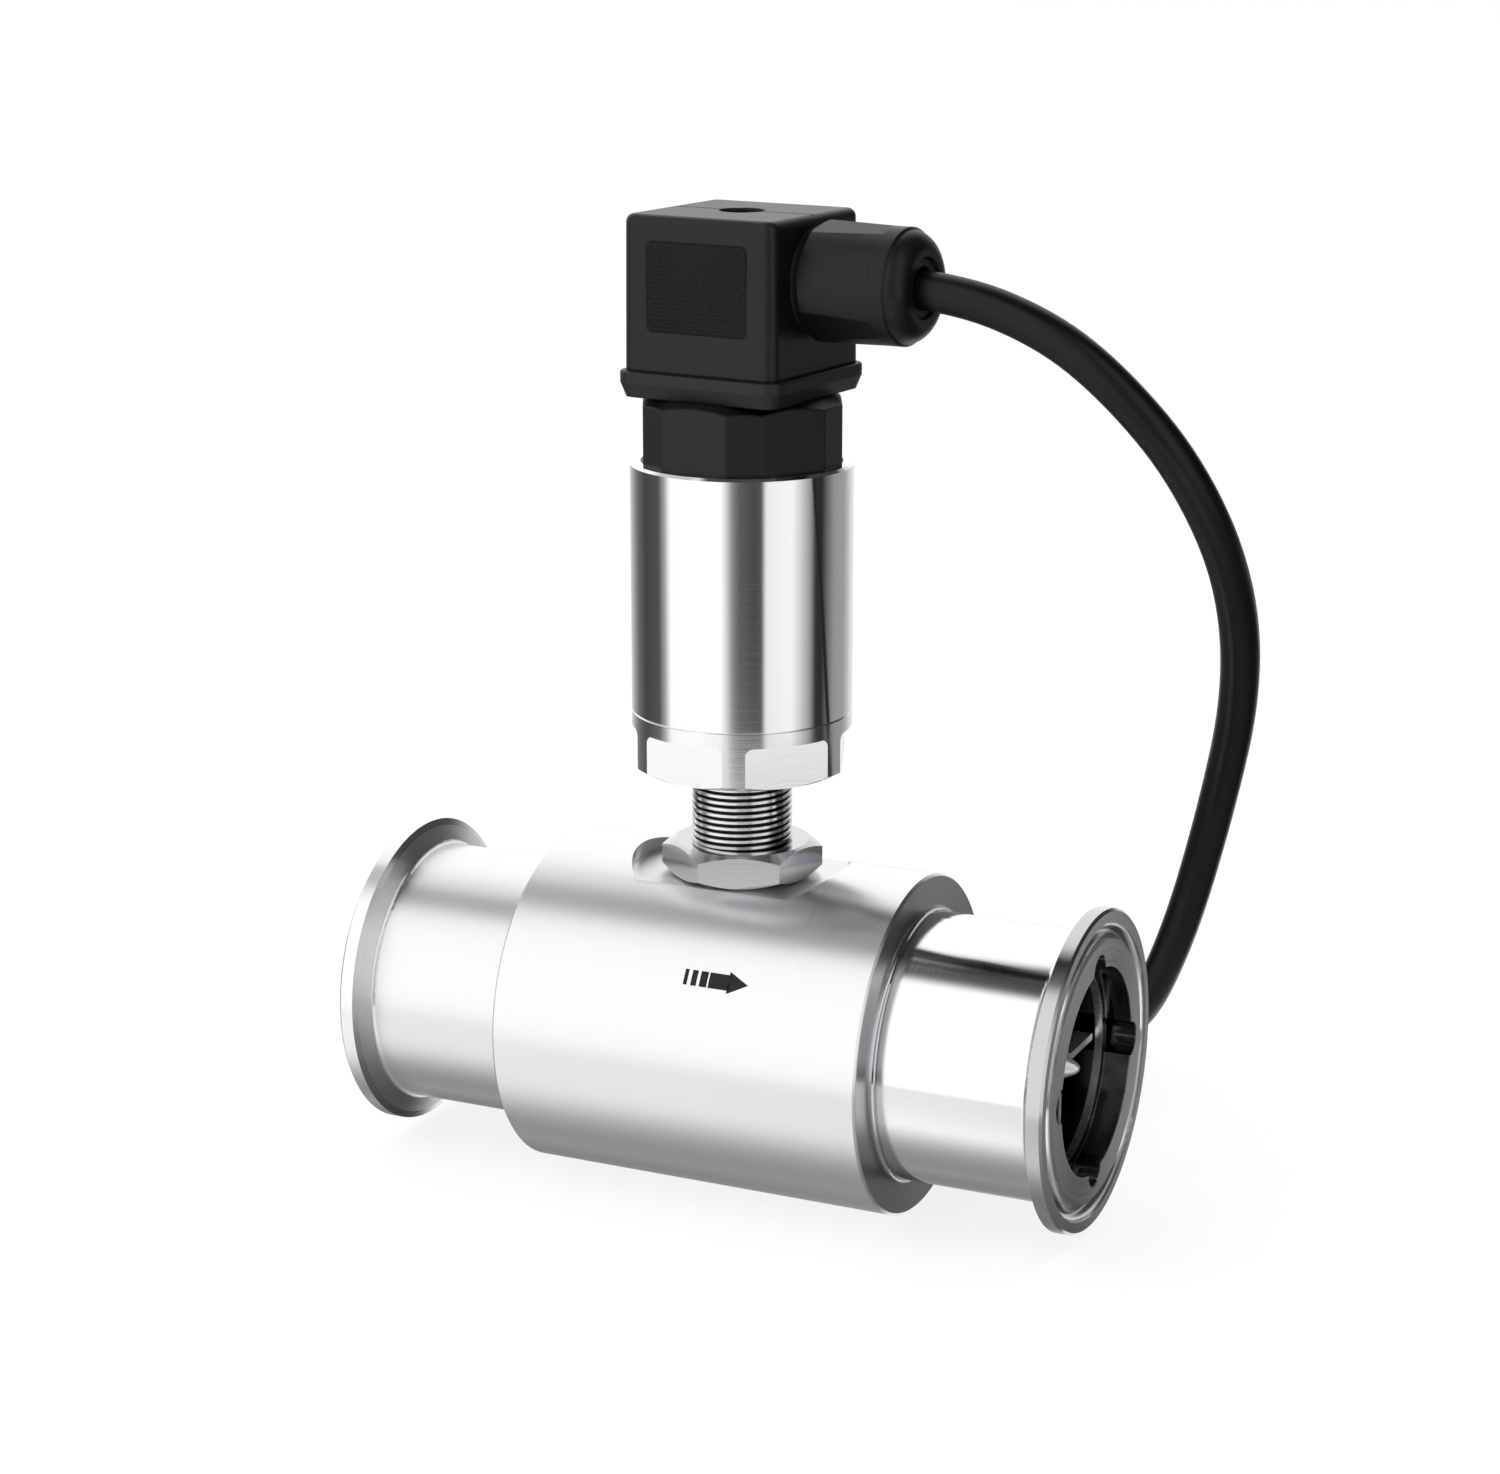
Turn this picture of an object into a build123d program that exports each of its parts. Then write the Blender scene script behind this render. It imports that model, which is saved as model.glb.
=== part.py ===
# Turbine flow sensor for hygienic pipe, in millimetres.
# A turned body carries a clamp ferrule at each end and a thick drum in the middle. A bladed rotor
# spins on bushes held by two flow straighteners, and a screwed pickup above it feels the blades
# pass. The pickup carries its amplifier housing, a square plug connector and a cable.
# Flow runs along +X and the pickup points up, along +Z. The origin is the middle of the inlet
# sealing face, on the flow axis.

import math
import os

from build123d import *

os.makedirs("parts", exist_ok=True)

# Shared: the break on a turned edge, the play round a screw or cable in a plain hole, the
# distance a cutter starts outside the piece, and the cone angle on hexagons
edge_break = 0.4
hole_play = 0.2
cutter_margin = 1.0
hexagon_cone = 30.0

# Body: everything here is a size of the turned piece
body_length = 120.0
clamp_diameter = 50.5
clamp_edge = 2.5
clamp_back_slope = 20.0
neck_diameter = 42.4
drum_diameter = 54.0
drum_length = 62.0
bore_diameter = 32.6
neck_root_radius = 0.9

# Half-round seal groove in each ferrule face
seal_groove_inner = 41.2
seal_groove_outer = 46.6
seal_groove_depth = 1.6

# Keyways that hold the straighteners, and the rings that keep them in
keyway_count = 4
keyway_radius = 2.8
keyway_centre = 16.0
keyway_length = 32.0
ring_groove_start = 4.4
ring_groove_width = 1.4
ring_groove_diameter = 34.8
ring_inner_diameter = 30.6
ring_thickness = 1.2
ring_gap = 3.4
ring_gap_turn = 180.0
ring_play = 0.1
ring_lug_radius = 2.3
ring_lug_centre = 14.6
ring_lug_turn = 15.0
ring_hole_radius = 0.9

# Straighteners
vane_thickness = 1.1
vane_start = 5.9
vane_end = 46.0
vane_root = 4.5
vane_reach = 16.2
hub_radius = 5.5
nose_start = 3.0
nose_half_angle = 26.0
nose_tip_radius = 0.9
hub_end = 52.6
key_inner_radius = 15.6
key_clearance = 0.08

# Rotor
rotor_length = 12.0
rotor_hub_radius = 5.3
blade_count = 8
blade_tip_radius = 15.8
blade_thickness = 1.1
blade_width = 10.5
blade_twist = 34.0
blade_stations = 5
blade_overlap = 1.0
shaft_radius = 1.5
shaft_length = 25.6
bush_outer_radius = 2.6
bush_length = 6.0
bush_clearance = 0.03

# Pocket in the drum, and the screwed pickup that stands in it. Its stem is drawn at the root of
# its thread.
pocket_diameter = 35.0
pocket_floor = 24.5
pickup_stem_radius = 7.5
pickup_hole_bottom = 17.9
pickup_tip = 18.0
pickup_wall = 1.3
pickup_web = 0.7
nut_across_flats = 22.0
nut_height = 5.5
nut_face_radius = 10.5
nut_corner_radius = 13.0
nut_turn = -68.2
base_bottom = 42.0
base_across_flats = 31.5
base_flat_height = 7.0
base_flat_corner = 1.2
base_turn = -69.5
seam_height = 51.4
seam_break = 0.15
spigot_top = 57.0
cavity_floor = 48.0
cavity_radius = 13.0
housing_seal_height = 54.2

# Amplifier housing
tube_diameter = 34.5
tube_wall = 1.65
tube_top = 90.5
seal_groove_half = 0.7
seal_groove_cut = 1.2
seal_ring_section = 0.6

# Coil in the tip of the pickup
bobbin_bottom = 19.2
bobbin_top = 30.6
bobbin_flange = 1.0
bobbin_radius = 6.0
bobbin_core = 2.4
pole_radius = 1.5
magnet_radius = 4.0
magnet_height = 5.0

# Amplifier board
board_width = 24.0
board_height = 34.0
board_thickness = 1.6
chip_size = (6.0, 5.0)
chip_height = 1.6
chip_places = [(-5.0, 9.0), (5.0, 9.0), (-5.0, 18.0)]
capacitor_radius = 3.2
capacitor_height = 7.0
capacitor_place = (5.5, 18.0)
trimmer_size = (9.5, 5.0)
trimmer_height = 4.6
trimmer_place = (0.0, 28.0)
trimmer_screw_radius = 1.2
trimmer_screw_place = (3.0, 28.0)

# Connector base with its hexagon and square flange
plug_turn = -6.3
base_hex_radius = 16.1
base_hex_turn = -64.0
base_hex_corner = 20.0
base_hex_top = 101.0
base_hex_cone_radius = 13.9
base_hex_cone_rise = 1.3
connector_spigot = 84.5
connector_seal_height = 87.2
flange_side = 26.2
flange_bottom = 101.8
flange_top = 104.0
gasket_side = 28.5
gasket_top = 105.0
gasket_corner = 3.0
gasket_draw = 0.9
gasket_waist = 103.2
flange_neck_radius = 12.5
insert_side = 22.0
insert_corner = 1.0
insert_top = 120.0
contact_distance = 8.0
contact_size = (0.9, 5.0)
contact_start = 83.0
contact_end = 114.0
terminal_spacing = 14.0
terminal_screw_radius = 1.9

# Plug housing
plug_side = 26.6
plug_top = 128.5
plug_corner = 2.0
plug_draft = 0.5
plug_edge_radius = 1.3
plug_roof = 122.0
screw_recess_radius = 3.5
screw_recess_floor = 124.0
panel_size = (17.3, 13.4)
panel_height = 117.9
panel_depth = 0.45
panel_corner = 0.8
parting_groove = 0.35
screw_radius = 1.5
screw_end = 92.0
screw_head_radius = 2.75
screw_head_height = 2.0
screw_slot = 0.8
screw_washer_height = 0.6

# Cable gland on the side of the plug, with distances from the plug's middle
gland_height = 118.8
boss_radius = 8.0
boss_end = 14.5
gland_neck_radius = 6.8
gland_neck_end = 25.0
seal_radius = 5.2
seal_start = 17.2
gland_nut_flats = 17.2
gland_nut_turn = 12.7
gland_nut_corners = 9.1
gland_hex_end = 26.3
gland_collar_radius = 8.8
gland_collar_end = 28.8
gland_dome_start = 29.1
gland_dome_radius = 8.4
gland_dome_point = (30.75, 7.5)
gland_end = 31.6
gland_end_radius = 5.7
gland_mouth_radius = 4.7
gland_mouth_floor = 29.8
gland_throat_radius = 3.9
gland_washer_thickness = 0.8

# Cable: its route from the gland to the coil, in the part's frame
cable_radius = 3.0
floor_height = -drum_diameter / 2
tie_thickness = 0.6
layer_low = floor_height + tie_thickness + cable_radius
layer_high = layer_low + 2 * cable_radius
cable_route = [
    (82.86, -2.52, gland_height),
    (95.4, -3.91, gland_height),
    (111.0, -5.4, 114.2),
    (122.0, -5.4, 106.4),
    (131.6, -1.8, 94.4),
    (136.6, 7.4, 77.4),
    (134.4, 21.6, 57.0),
    (126.8, 34.4, 32.4),
    (117.6, 46.4, 6.6),
    (106.6, 58.8, -14.0),
    (90.4, 73.8, -24.0),
    (69.0, 93.2, -24.0),
    (48.5, 106.7, layer_low),
]
coil_radius = 33.0
coil_start_radius = 39.0
tail_length = 36.0
tail_landing = 27.0
tail_bend = 40.0
core_length = 22.0
core_radius = 0.65
core_circle = 1.3
coil_corner = 2.9
tie_turn = 150.0
tie_width = 3.6
tie_head = 3.0

middle = body_length / 2
stem_plane = Plane(origin=(middle, 0, 0), x_dir=(1, 0, 0), z_dir=(0, -1, 0))
stem_axis = Axis((middle, 0, 0), (0, 0, 1))
stem_base = Plane(origin=(middle, 0, 0))
plug_base = stem_base.rotated((0, 0, plug_turn))
gland_plane = Plane(origin=(middle, 0, gland_height), x_dir=plug_base.y_dir, z_dir=plug_base.x_dir)
gland_axis = Axis(gland_plane.origin, gland_plane.z_dir)
gland_side = Plane(origin=gland_plane.origin, x_dir=plug_base.x_dir, z_dir=-plug_base.y_dir)

# Meter body: half of it is turned, keyed and grooved, then mirrored
clamp_radius = clamp_diameter / 2
neck_radius = neck_diameter / 2
drum_radius = drum_diameter / 2
bore_radius = bore_diameter / 2
drum_start = middle - drum_length / 2
neck_start = clamp_edge + (clamp_radius - neck_radius) * math.tan(math.radians(clamp_back_slope))
groove_middle = (seal_groove_inner + seal_groove_outer) / 4
ring_groove_end = ring_groove_start + ring_groove_width

with BuildPart() as meter_body:
    with BuildSketch(Plane.XZ) as half_section:
        with BuildLine():
            Polyline(
                (0, seal_groove_inner / 2),
                (0, bore_radius),
                (ring_groove_start, bore_radius),
                (ring_groove_start, ring_groove_diameter / 2),
                (ring_groove_end, ring_groove_diameter / 2),
                (ring_groove_end, bore_radius),
                (middle, bore_radius),
                (middle, drum_radius),
                (drum_start + edge_break, drum_radius),
                (drum_start, drum_radius - edge_break),
                (drum_start, neck_radius),
                (neck_start, neck_radius),
                (clamp_edge, clamp_radius),
                (edge_break, clamp_radius),
                (0, clamp_radius - edge_break),
                (0, seal_groove_outer / 2),
            )
            ThreePointArc(
                (0, seal_groove_outer / 2),
                (seal_groove_depth, groove_middle),
                (0, seal_groove_inner / 2),
            )
        make_face()
        fillet(
            [v for v in half_section.vertices() if abs(v.Y - neck_radius) < 0.01],
            neck_root_radius,
        )
    revolve(axis=Axis.X)
    with BuildSketch(Plane.YZ):
        with PolarLocations(keyway_centre, keyway_count):
            Circle(keyway_radius)
    extrude(amount=keyway_length, mode=Mode.SUBTRACT)
    mirror(about=Plane.YZ.offset(middle))
    with BuildSketch(stem_base.offset(pocket_floor)):
        Circle(pocket_diameter / 2)
    extrude(amount=drum_radius, mode=Mode.SUBTRACT)
    with BuildSketch(stem_base.offset(pickup_hole_bottom)):
        Circle(pickup_stem_radius)
    extrude(amount=drum_radius, mode=Mode.SUBTRACT)
meter_body.part.label = "meter_body"
export_step(meter_body.part, "parts/meter_body.step")


def snap_ring(name, start):
    """Open spring ring with two eyes for pliers, which keeps a straightener in."""
    with BuildPart() as ring:
        with BuildSketch(Plane.YZ.offset(start)):
            Circle(ring_groove_diameter / 2 - ring_play)
            Circle(ring_inner_diameter / 2, mode=Mode.SUBTRACT)
            with PolarLocations(ring_groove_diameter / 2, 1, start_angle=ring_gap_turn):
                Rectangle(ring_groove_diameter / 2, ring_gap, mode=Mode.SUBTRACT)
            with PolarLocations(
                ring_lug_centre,
                2,
                start_angle=ring_gap_turn - ring_lug_turn,
                angular_range=2 * ring_lug_turn,
                endpoint=True,
            ):
                Circle(ring_lug_radius)
                Circle(ring_hole_radius, mode=Mode.SUBTRACT)
        extrude(amount=ring_thickness)
    ring.part.label = name
    export_step(ring.part, f"parts/{name}.step")


snap_ring("inlet_snap_ring", ring_groove_start + ring_play)
snap_ring("outlet_snap_ring", body_length - ring_groove_start - ring_play - ring_thickness)

# Flow straighteners: a pointed hub on four vanes, whose keyed tips slide in the body's keyways
nose_length = (hub_radius - nose_tip_radius) / math.tan(math.radians(nose_half_angle))
bush_seat = hub_end - bush_length
key_radius = keyway_radius - key_clearance
with BuildPart() as inlet_straightener:
    with BuildSketch(Plane.XZ):
        Polygon(
            (nose_start, 0),
            (nose_start, nose_tip_radius / 2),
            (nose_start + nose_tip_radius / 2, nose_tip_radius),
            (nose_start + nose_length, hub_radius),
            (hub_end - edge_break, hub_radius),
            (hub_end, hub_radius - edge_break),
            (hub_end, bush_outer_radius),
            (bush_seat, bush_outer_radius),
            (bush_seat, 0),
            align=None,
        )
    revolve(axis=Axis.X)
    with BuildSketch(Plane.YZ.offset(vane_start)):
        with PolarLocations((vane_root + vane_reach) / 2, keyway_count):
            Rectangle(vane_reach - vane_root, vane_thickness)
    extrude(amount=vane_end - vane_start)
    with BuildSketch(Plane.YZ.offset(vane_start)):
        with PolarLocations(keyway_centre, keyway_count):
            Circle(key_radius)
        Circle(key_inner_radius, mode=Mode.SUBTRACT)
    extrude(amount=keyway_length - vane_start - key_clearance)
inlet_straightener.part.label = "inlet_straightener"
export_step(inlet_straightener.part, "parts/inlet_straightener.step")

with BuildPart() as outlet_straightener:
    mirror(inlet_straightener.part, about=Plane.YZ.offset(middle))
outlet_straightener.part.label = "outlet_straightener"
export_step(outlet_straightener.part, "parts/outlet_straightener.step")


def bush(name, start):
    """Plain bearing bush for one end of the rotor shaft."""
    with BuildPart() as bearing:
        with BuildSketch(Plane.YZ.offset(start)):
            Circle(bush_outer_radius)
            Circle(shaft_radius + bush_clearance, mode=Mode.SUBTRACT)
        extrude(amount=bush_length)
    bearing.part.label = name
    export_step(bearing.part, f"parts/{name}.step")


bush("inlet_bush", bush_seat)
bush("outlet_bush", body_length - hub_end)

# Rotor: one blade is lofted through turned copies of a radial strip, and the blades are then
# trimmed to the tip circle
with BuildPart() as blade:
    for station in range(blade_stations):
        share = station / (blade_stations - 1) - 0.5
        place = Plane.YZ.offset(middle + blade_width * share).rotated((0, 0, blade_twist * share))
        with BuildSketch(place):
            with Locations(((rotor_hub_radius + blade_tip_radius) / 2, 0)):
                Rectangle(
                    blade_tip_radius - rotor_hub_radius + 2 * blade_overlap, blade_thickness
                )
    loft()

rotor_start = middle - rotor_length / 2
with BuildPart() as rotor:
    with BuildSketch(Plane.YZ.offset(rotor_start)):
        Circle(rotor_hub_radius)
    extrude(amount=rotor_length)
    chamfer(rotor.edges(), edge_break)
    for number in range(blade_count):
        add(blade.part.rotate(Axis.X, number * 360 / blade_count))
    with BuildSketch(Plane.YZ.offset(rotor_start)):
        Circle(blade_tip_radius)
    extrude(amount=rotor_length, mode=Mode.INTERSECT)
    with BuildSketch(Plane.YZ.offset(rotor_start)):
        Circle(shaft_radius)
    extrude(amount=rotor_length, mode=Mode.SUBTRACT)
rotor.part.label = "rotor"
export_step(rotor.part, "parts/rotor.step")

with BuildPart() as rotor_shaft:
    with BuildSketch(Plane.YZ.offset(middle - shaft_length / 2)):
        Circle(shaft_radius)
    extrude(amount=shaft_length)
    chamfer(rotor_shaft.edges(), edge_break / 2)
rotor_shaft.part.label = "rotor_shaft"
export_step(rotor_shaft.part, "parts/rotor_shaft.step")

# Pickup body: threaded stem, hexagon base and spigot turned in one piece, with six milled flats
tube_radius = tube_diameter / 2
tube_bore = tube_radius - tube_wall
base_apothem = base_across_flats / 2
base_cone_rise = (tube_radius - base_apothem) * math.tan(math.radians(hexagon_cone))
flat_chord = 2 * math.sqrt(tube_radius**2 - base_apothem**2)
with BuildPart() as pickup_body:
    with BuildSketch(stem_plane):
        Polygon(
            (0, pickup_tip),
            (pickup_stem_radius - edge_break, pickup_tip),
            (pickup_stem_radius, pickup_tip + edge_break),
            (pickup_stem_radius, base_bottom),
            (base_apothem, base_bottom),
            (tube_radius, base_bottom + base_cone_rise),
            (tube_radius, seam_height - seam_break),
            (tube_radius - seam_break, seam_height),
            (tube_bore, seam_height),
            (tube_bore, housing_seal_height - seal_groove_half),
            (tube_bore - seal_groove_cut, housing_seal_height - seal_groove_half),
            (tube_bore - seal_groove_cut, housing_seal_height + seal_groove_half),
            (tube_bore, housing_seal_height + seal_groove_half),
            (tube_bore, spigot_top),
            (cavity_radius, spigot_top),
            (cavity_radius, cavity_floor),
            (pickup_stem_radius - pickup_wall, cavity_floor),
            (pickup_stem_radius - pickup_wall, pickup_tip + pickup_web),
            (0, pickup_tip + pickup_web),
            align=None,
        )
    revolve(axis=stem_axis)
    for number in range(6):
        side = stem_base.rotated((0, 0, base_turn + 30 + 60 * number))
        flat = Plane(
            origin=side.origin + side.x_dir * base_apothem, x_dir=side.y_dir, z_dir=side.x_dir
        )
        with BuildSketch(flat) as milled:
            with Locations((0, base_bottom + base_flat_height / 2)):
                Rectangle(flat_chord, base_flat_height)
            fillet(milled.vertices().group_by(Axis.Y)[-1], base_flat_corner)
        extrude(amount=tube_radius - base_apothem + cutter_margin, mode=Mode.SUBTRACT)
pickup_body.part.label = "pickup_body"
export_step(pickup_body.part, "parts/pickup_body.step")


def seal_ring(name, height, outer_radius):
    """Round rubber ring that fills its groove out to the tube's bore."""
    with BuildPart() as ring:
        with BuildSketch(stem_plane):
            with Locations((outer_radius - seal_ring_section, height)):
                Circle(seal_ring_section)
        revolve(axis=stem_axis)
    ring.part.label = name
    export_step(ring.part, f"parts/{name}.step")


seal_ring("housing_seal", housing_seal_height, tube_bore)
seal_ring("connector_seal", connector_seal_height, tube_bore)

# Locknut: a hexagon cut back by a cone at each end
nut_cone_rise = (nut_corner_radius - nut_face_radius) * math.tan(math.radians(hexagon_cone))
with BuildPart() as locknut:
    with BuildSketch(stem_base.offset(pocket_floor)):
        RegularPolygon(nut_across_flats / 2, 6, major_radius=False, rotation=nut_turn - 30)
        Circle(pickup_stem_radius, mode=Mode.SUBTRACT)
    extrude(amount=nut_height)
    with BuildSketch(stem_plane):
        Polygon(
            (0, pocket_floor),
            (nut_face_radius, pocket_floor),
            (nut_corner_radius, pocket_floor + nut_cone_rise),
            (nut_corner_radius, pocket_floor + nut_height - nut_cone_rise),
            (nut_face_radius, pocket_floor + nut_height),
            (0, pocket_floor + nut_height),
            align=None,
        )
    revolve(axis=stem_axis, mode=Mode.INTERSECT)
locknut.part.label = "locknut"
export_step(locknut.part, "parts/locknut.step")

# Coil in the tip of the pickup: pole pin, bobbin, winding and magnet
with BuildPart() as pole_pin:
    with BuildSketch(stem_base.offset(pickup_tip + pickup_web)):
        Circle(pole_radius)
    extrude(amount=bobbin_top - pickup_tip - pickup_web)
pole_pin.part.label = "pole_pin"
export_step(pole_pin.part, "parts/pole_pin.step")

with BuildPart() as coil_bobbin:
    with BuildSketch(stem_plane):
        Polygon(
            (pole_radius, bobbin_bottom),
            (bobbin_radius, bobbin_bottom),
            (bobbin_radius, bobbin_bottom + bobbin_flange),
            (bobbin_core, bobbin_bottom + bobbin_flange),
            (bobbin_core, bobbin_top - bobbin_flange),
            (bobbin_radius, bobbin_top - bobbin_flange),
            (bobbin_radius, bobbin_top),
            (pole_radius, bobbin_top),
            align=None,
        )
    revolve(axis=stem_axis)
coil_bobbin.part.label = "coil_bobbin"
export_step(coil_bobbin.part, "parts/coil_bobbin.step")

with BuildPart() as coil_winding:
    with BuildSketch(stem_base.offset(bobbin_bottom + bobbin_flange)):
        Circle(bobbin_radius - bobbin_flange / 2)
        Circle(bobbin_core, mode=Mode.SUBTRACT)
    extrude(amount=bobbin_top - bobbin_bottom - 2 * bobbin_flange)
coil_winding.part.label = "coil_winding"
export_step(coil_winding.part, "parts/coil_winding.step")

with BuildPart() as bias_magnet:
    with BuildSketch(stem_base.offset(bobbin_top)):
        Circle(magnet_radius)
    extrude(amount=magnet_height)
    chamfer(bias_magnet.edges(), edge_break)
bias_magnet.part.label = "bias_magnet"
export_step(bias_magnet.part, "parts/bias_magnet.step")

# Amplifier housing and what stands in it
with BuildPart() as housing_tube:
    with BuildSketch(stem_plane):
        Polygon(
            (tube_bore, seam_height),
            (tube_radius - seam_break, seam_height),
            (tube_radius, seam_height + seam_break),
            (tube_radius, tube_top - edge_break),
            (tube_radius - edge_break, tube_top),
            (tube_bore, tube_top),
            align=None,
        )
    revolve(axis=stem_axis)
housing_tube.part.label = "housing_tube"
export_step(housing_tube.part, "parts/housing_tube.step")

board_plane = plug_base.offset(cavity_floor)
with BuildPart() as amplifier_board:
    with BuildSketch(board_plane):
        Rectangle(board_width, board_thickness)
    extrude(amount=board_height)
amplifier_board.part.label = "amplifier_board"
export_step(amplifier_board.part, "parts/amplifier_board.step")

board_front = Plane(
    origin=board_plane.origin - board_plane.y_dir * board_thickness / 2,
    x_dir=board_plane.x_dir,
    z_dir=-board_plane.y_dir,
)
with BuildPart() as board_chips:
    with BuildSketch(board_front):
        with Locations(*chip_places):
            Rectangle(*chip_size)
    extrude(amount=chip_height)
board_chips.part.label = "board_chips"
export_step(board_chips.part, "parts/board_chips.step")

with BuildPart() as filter_capacitor:
    with BuildSketch(board_front):
        with Locations(capacitor_place):
            Circle(capacitor_radius)
    extrude(amount=capacitor_height)
    fillet(filter_capacitor.faces().sort_by(Axis.Y)[0].edges(), edge_break)
filter_capacitor.part.label = "filter_capacitor"
export_step(filter_capacitor.part, "parts/filter_capacitor.step")

with BuildPart() as gain_trimmer:
    with BuildSketch(board_front):
        with Locations(trimmer_place):
            Rectangle(*trimmer_size)
    extrude(amount=trimmer_height)
    with BuildSketch(board_front.offset(trimmer_height)):
        with Locations(trimmer_screw_place):
            Circle(trimmer_screw_radius)
    extrude(amount=edge_break)
gain_trimmer.part.label = "gain_trimmer"
export_step(gain_trimmer.part, "parts/gain_trimmer.step")

# Connector base: a hexagon with cut corners and a cone on a spigot, with a square flange for the
# plug. A corner facet spans base_hex_corner degrees, and a flat what that leaves of 60 degrees.
corner_apothem = base_hex_radius * math.cos(math.radians(base_hex_corner / 2))
flat_apothem = base_hex_radius * math.cos(math.radians((60 - base_hex_corner) / 2))
with BuildPart() as connector_base:
    with BuildSketch(stem_base.offset(tube_top)):
        RegularPolygon(flat_apothem, 6, major_radius=False, rotation=base_hex_turn)
        RegularPolygon(
            corner_apothem, 6, major_radius=False, rotation=base_hex_turn - 30, mode=Mode.INTERSECT
        )
    extrude(amount=base_hex_top - tube_top)
    with BuildSketch(stem_plane):
        Polygon(
            (0, tube_top),
            (base_hex_radius, tube_top),
            (base_hex_radius, base_hex_top - base_hex_cone_rise),
            (base_hex_cone_radius, base_hex_top),
            (0, base_hex_top),
            align=None,
        )
    revolve(axis=stem_axis, mode=Mode.INTERSECT)
    with BuildSketch(stem_plane):
        Polygon(
            (0, connector_spigot),
            (tube_bore, connector_spigot),
            (tube_bore, connector_seal_height - seal_groove_half),
            (tube_bore - seal_groove_cut, connector_seal_height - seal_groove_half),
            (tube_bore - seal_groove_cut, connector_seal_height + seal_groove_half),
            (tube_bore, connector_seal_height + seal_groove_half),
            (tube_bore, tube_top),
            (0, tube_top),
            align=None,
        )
    revolve(axis=stem_axis)
    with BuildSketch(stem_base.offset(base_hex_top)):
        Circle(flange_neck_radius)
    extrude(amount=flange_bottom - base_hex_top)
    with BuildSketch(plug_base.offset(flange_bottom)):
        RectangleRounded(flange_side, flange_side, plug_corner)
    extrude(amount=flange_top - flange_bottom)
    with BuildSketch(plug_base.offset(connector_spigot)):
        with PolarLocations(contact_distance, 4):
            Rectangle(*contact_size)
    extrude(amount=flange_top - connector_spigot, mode=Mode.SUBTRACT)
    with BuildSketch(plug_base.offset(screw_end)):
        Circle(screw_radius)
    extrude(amount=flange_top - screw_end, mode=Mode.SUBTRACT)
connector_base.part.label = "connector_base"
export_step(connector_base.part, "parts/connector_base.step")

with BuildPart() as contact_blades:
    with BuildSketch(plug_base.offset(contact_start)):
        with PolarLocations(contact_distance, 4):
            Rectangle(*contact_size)
    extrude(amount=contact_end - contact_start)
contact_blades.part.label = "contact_blades"
export_step(contact_blades.part, "parts/contact_blades.step")

# Flange gasket: a rubber cup that is snapped over the flange, its skirt drawn in below
with BuildPart() as flange_gasket:
    with BuildSketch(plug_base.offset(base_hex_top)):
        RectangleRounded(
            gasket_side - 2 * gasket_draw, gasket_side - 2 * gasket_draw, gasket_corner - gasket_draw
        )
    with BuildSketch(plug_base.offset(gasket_waist)):
        RectangleRounded(gasket_side, gasket_side, gasket_corner)
    loft()
    with BuildSketch(plug_base.offset(gasket_waist)):
        RectangleRounded(gasket_side, gasket_side, gasket_corner)
    extrude(amount=gasket_top - gasket_waist)
    fillet(flange_gasket.faces().sort_by(Axis.Z)[-1].edges(), edge_break)
    with BuildSketch(plug_base.offset(base_hex_top)):
        Circle(flange_neck_radius)
    extrude(amount=flange_bottom - base_hex_top, mode=Mode.SUBTRACT)
    with BuildSketch(plug_base.offset(flange_bottom)):
        RectangleRounded(flange_side, flange_side, plug_corner)
    extrude(amount=flange_top - flange_bottom, mode=Mode.SUBTRACT)
    with BuildSketch(plug_base.offset(flange_top)):
        RectangleRounded(insert_side, insert_side, insert_corner)
    extrude(amount=gasket_top - flange_top, mode=Mode.SUBTRACT)
flange_gasket.part.label = "flange_gasket"
export_step(flange_gasket.part, "parts/flange_gasket.step")

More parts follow.
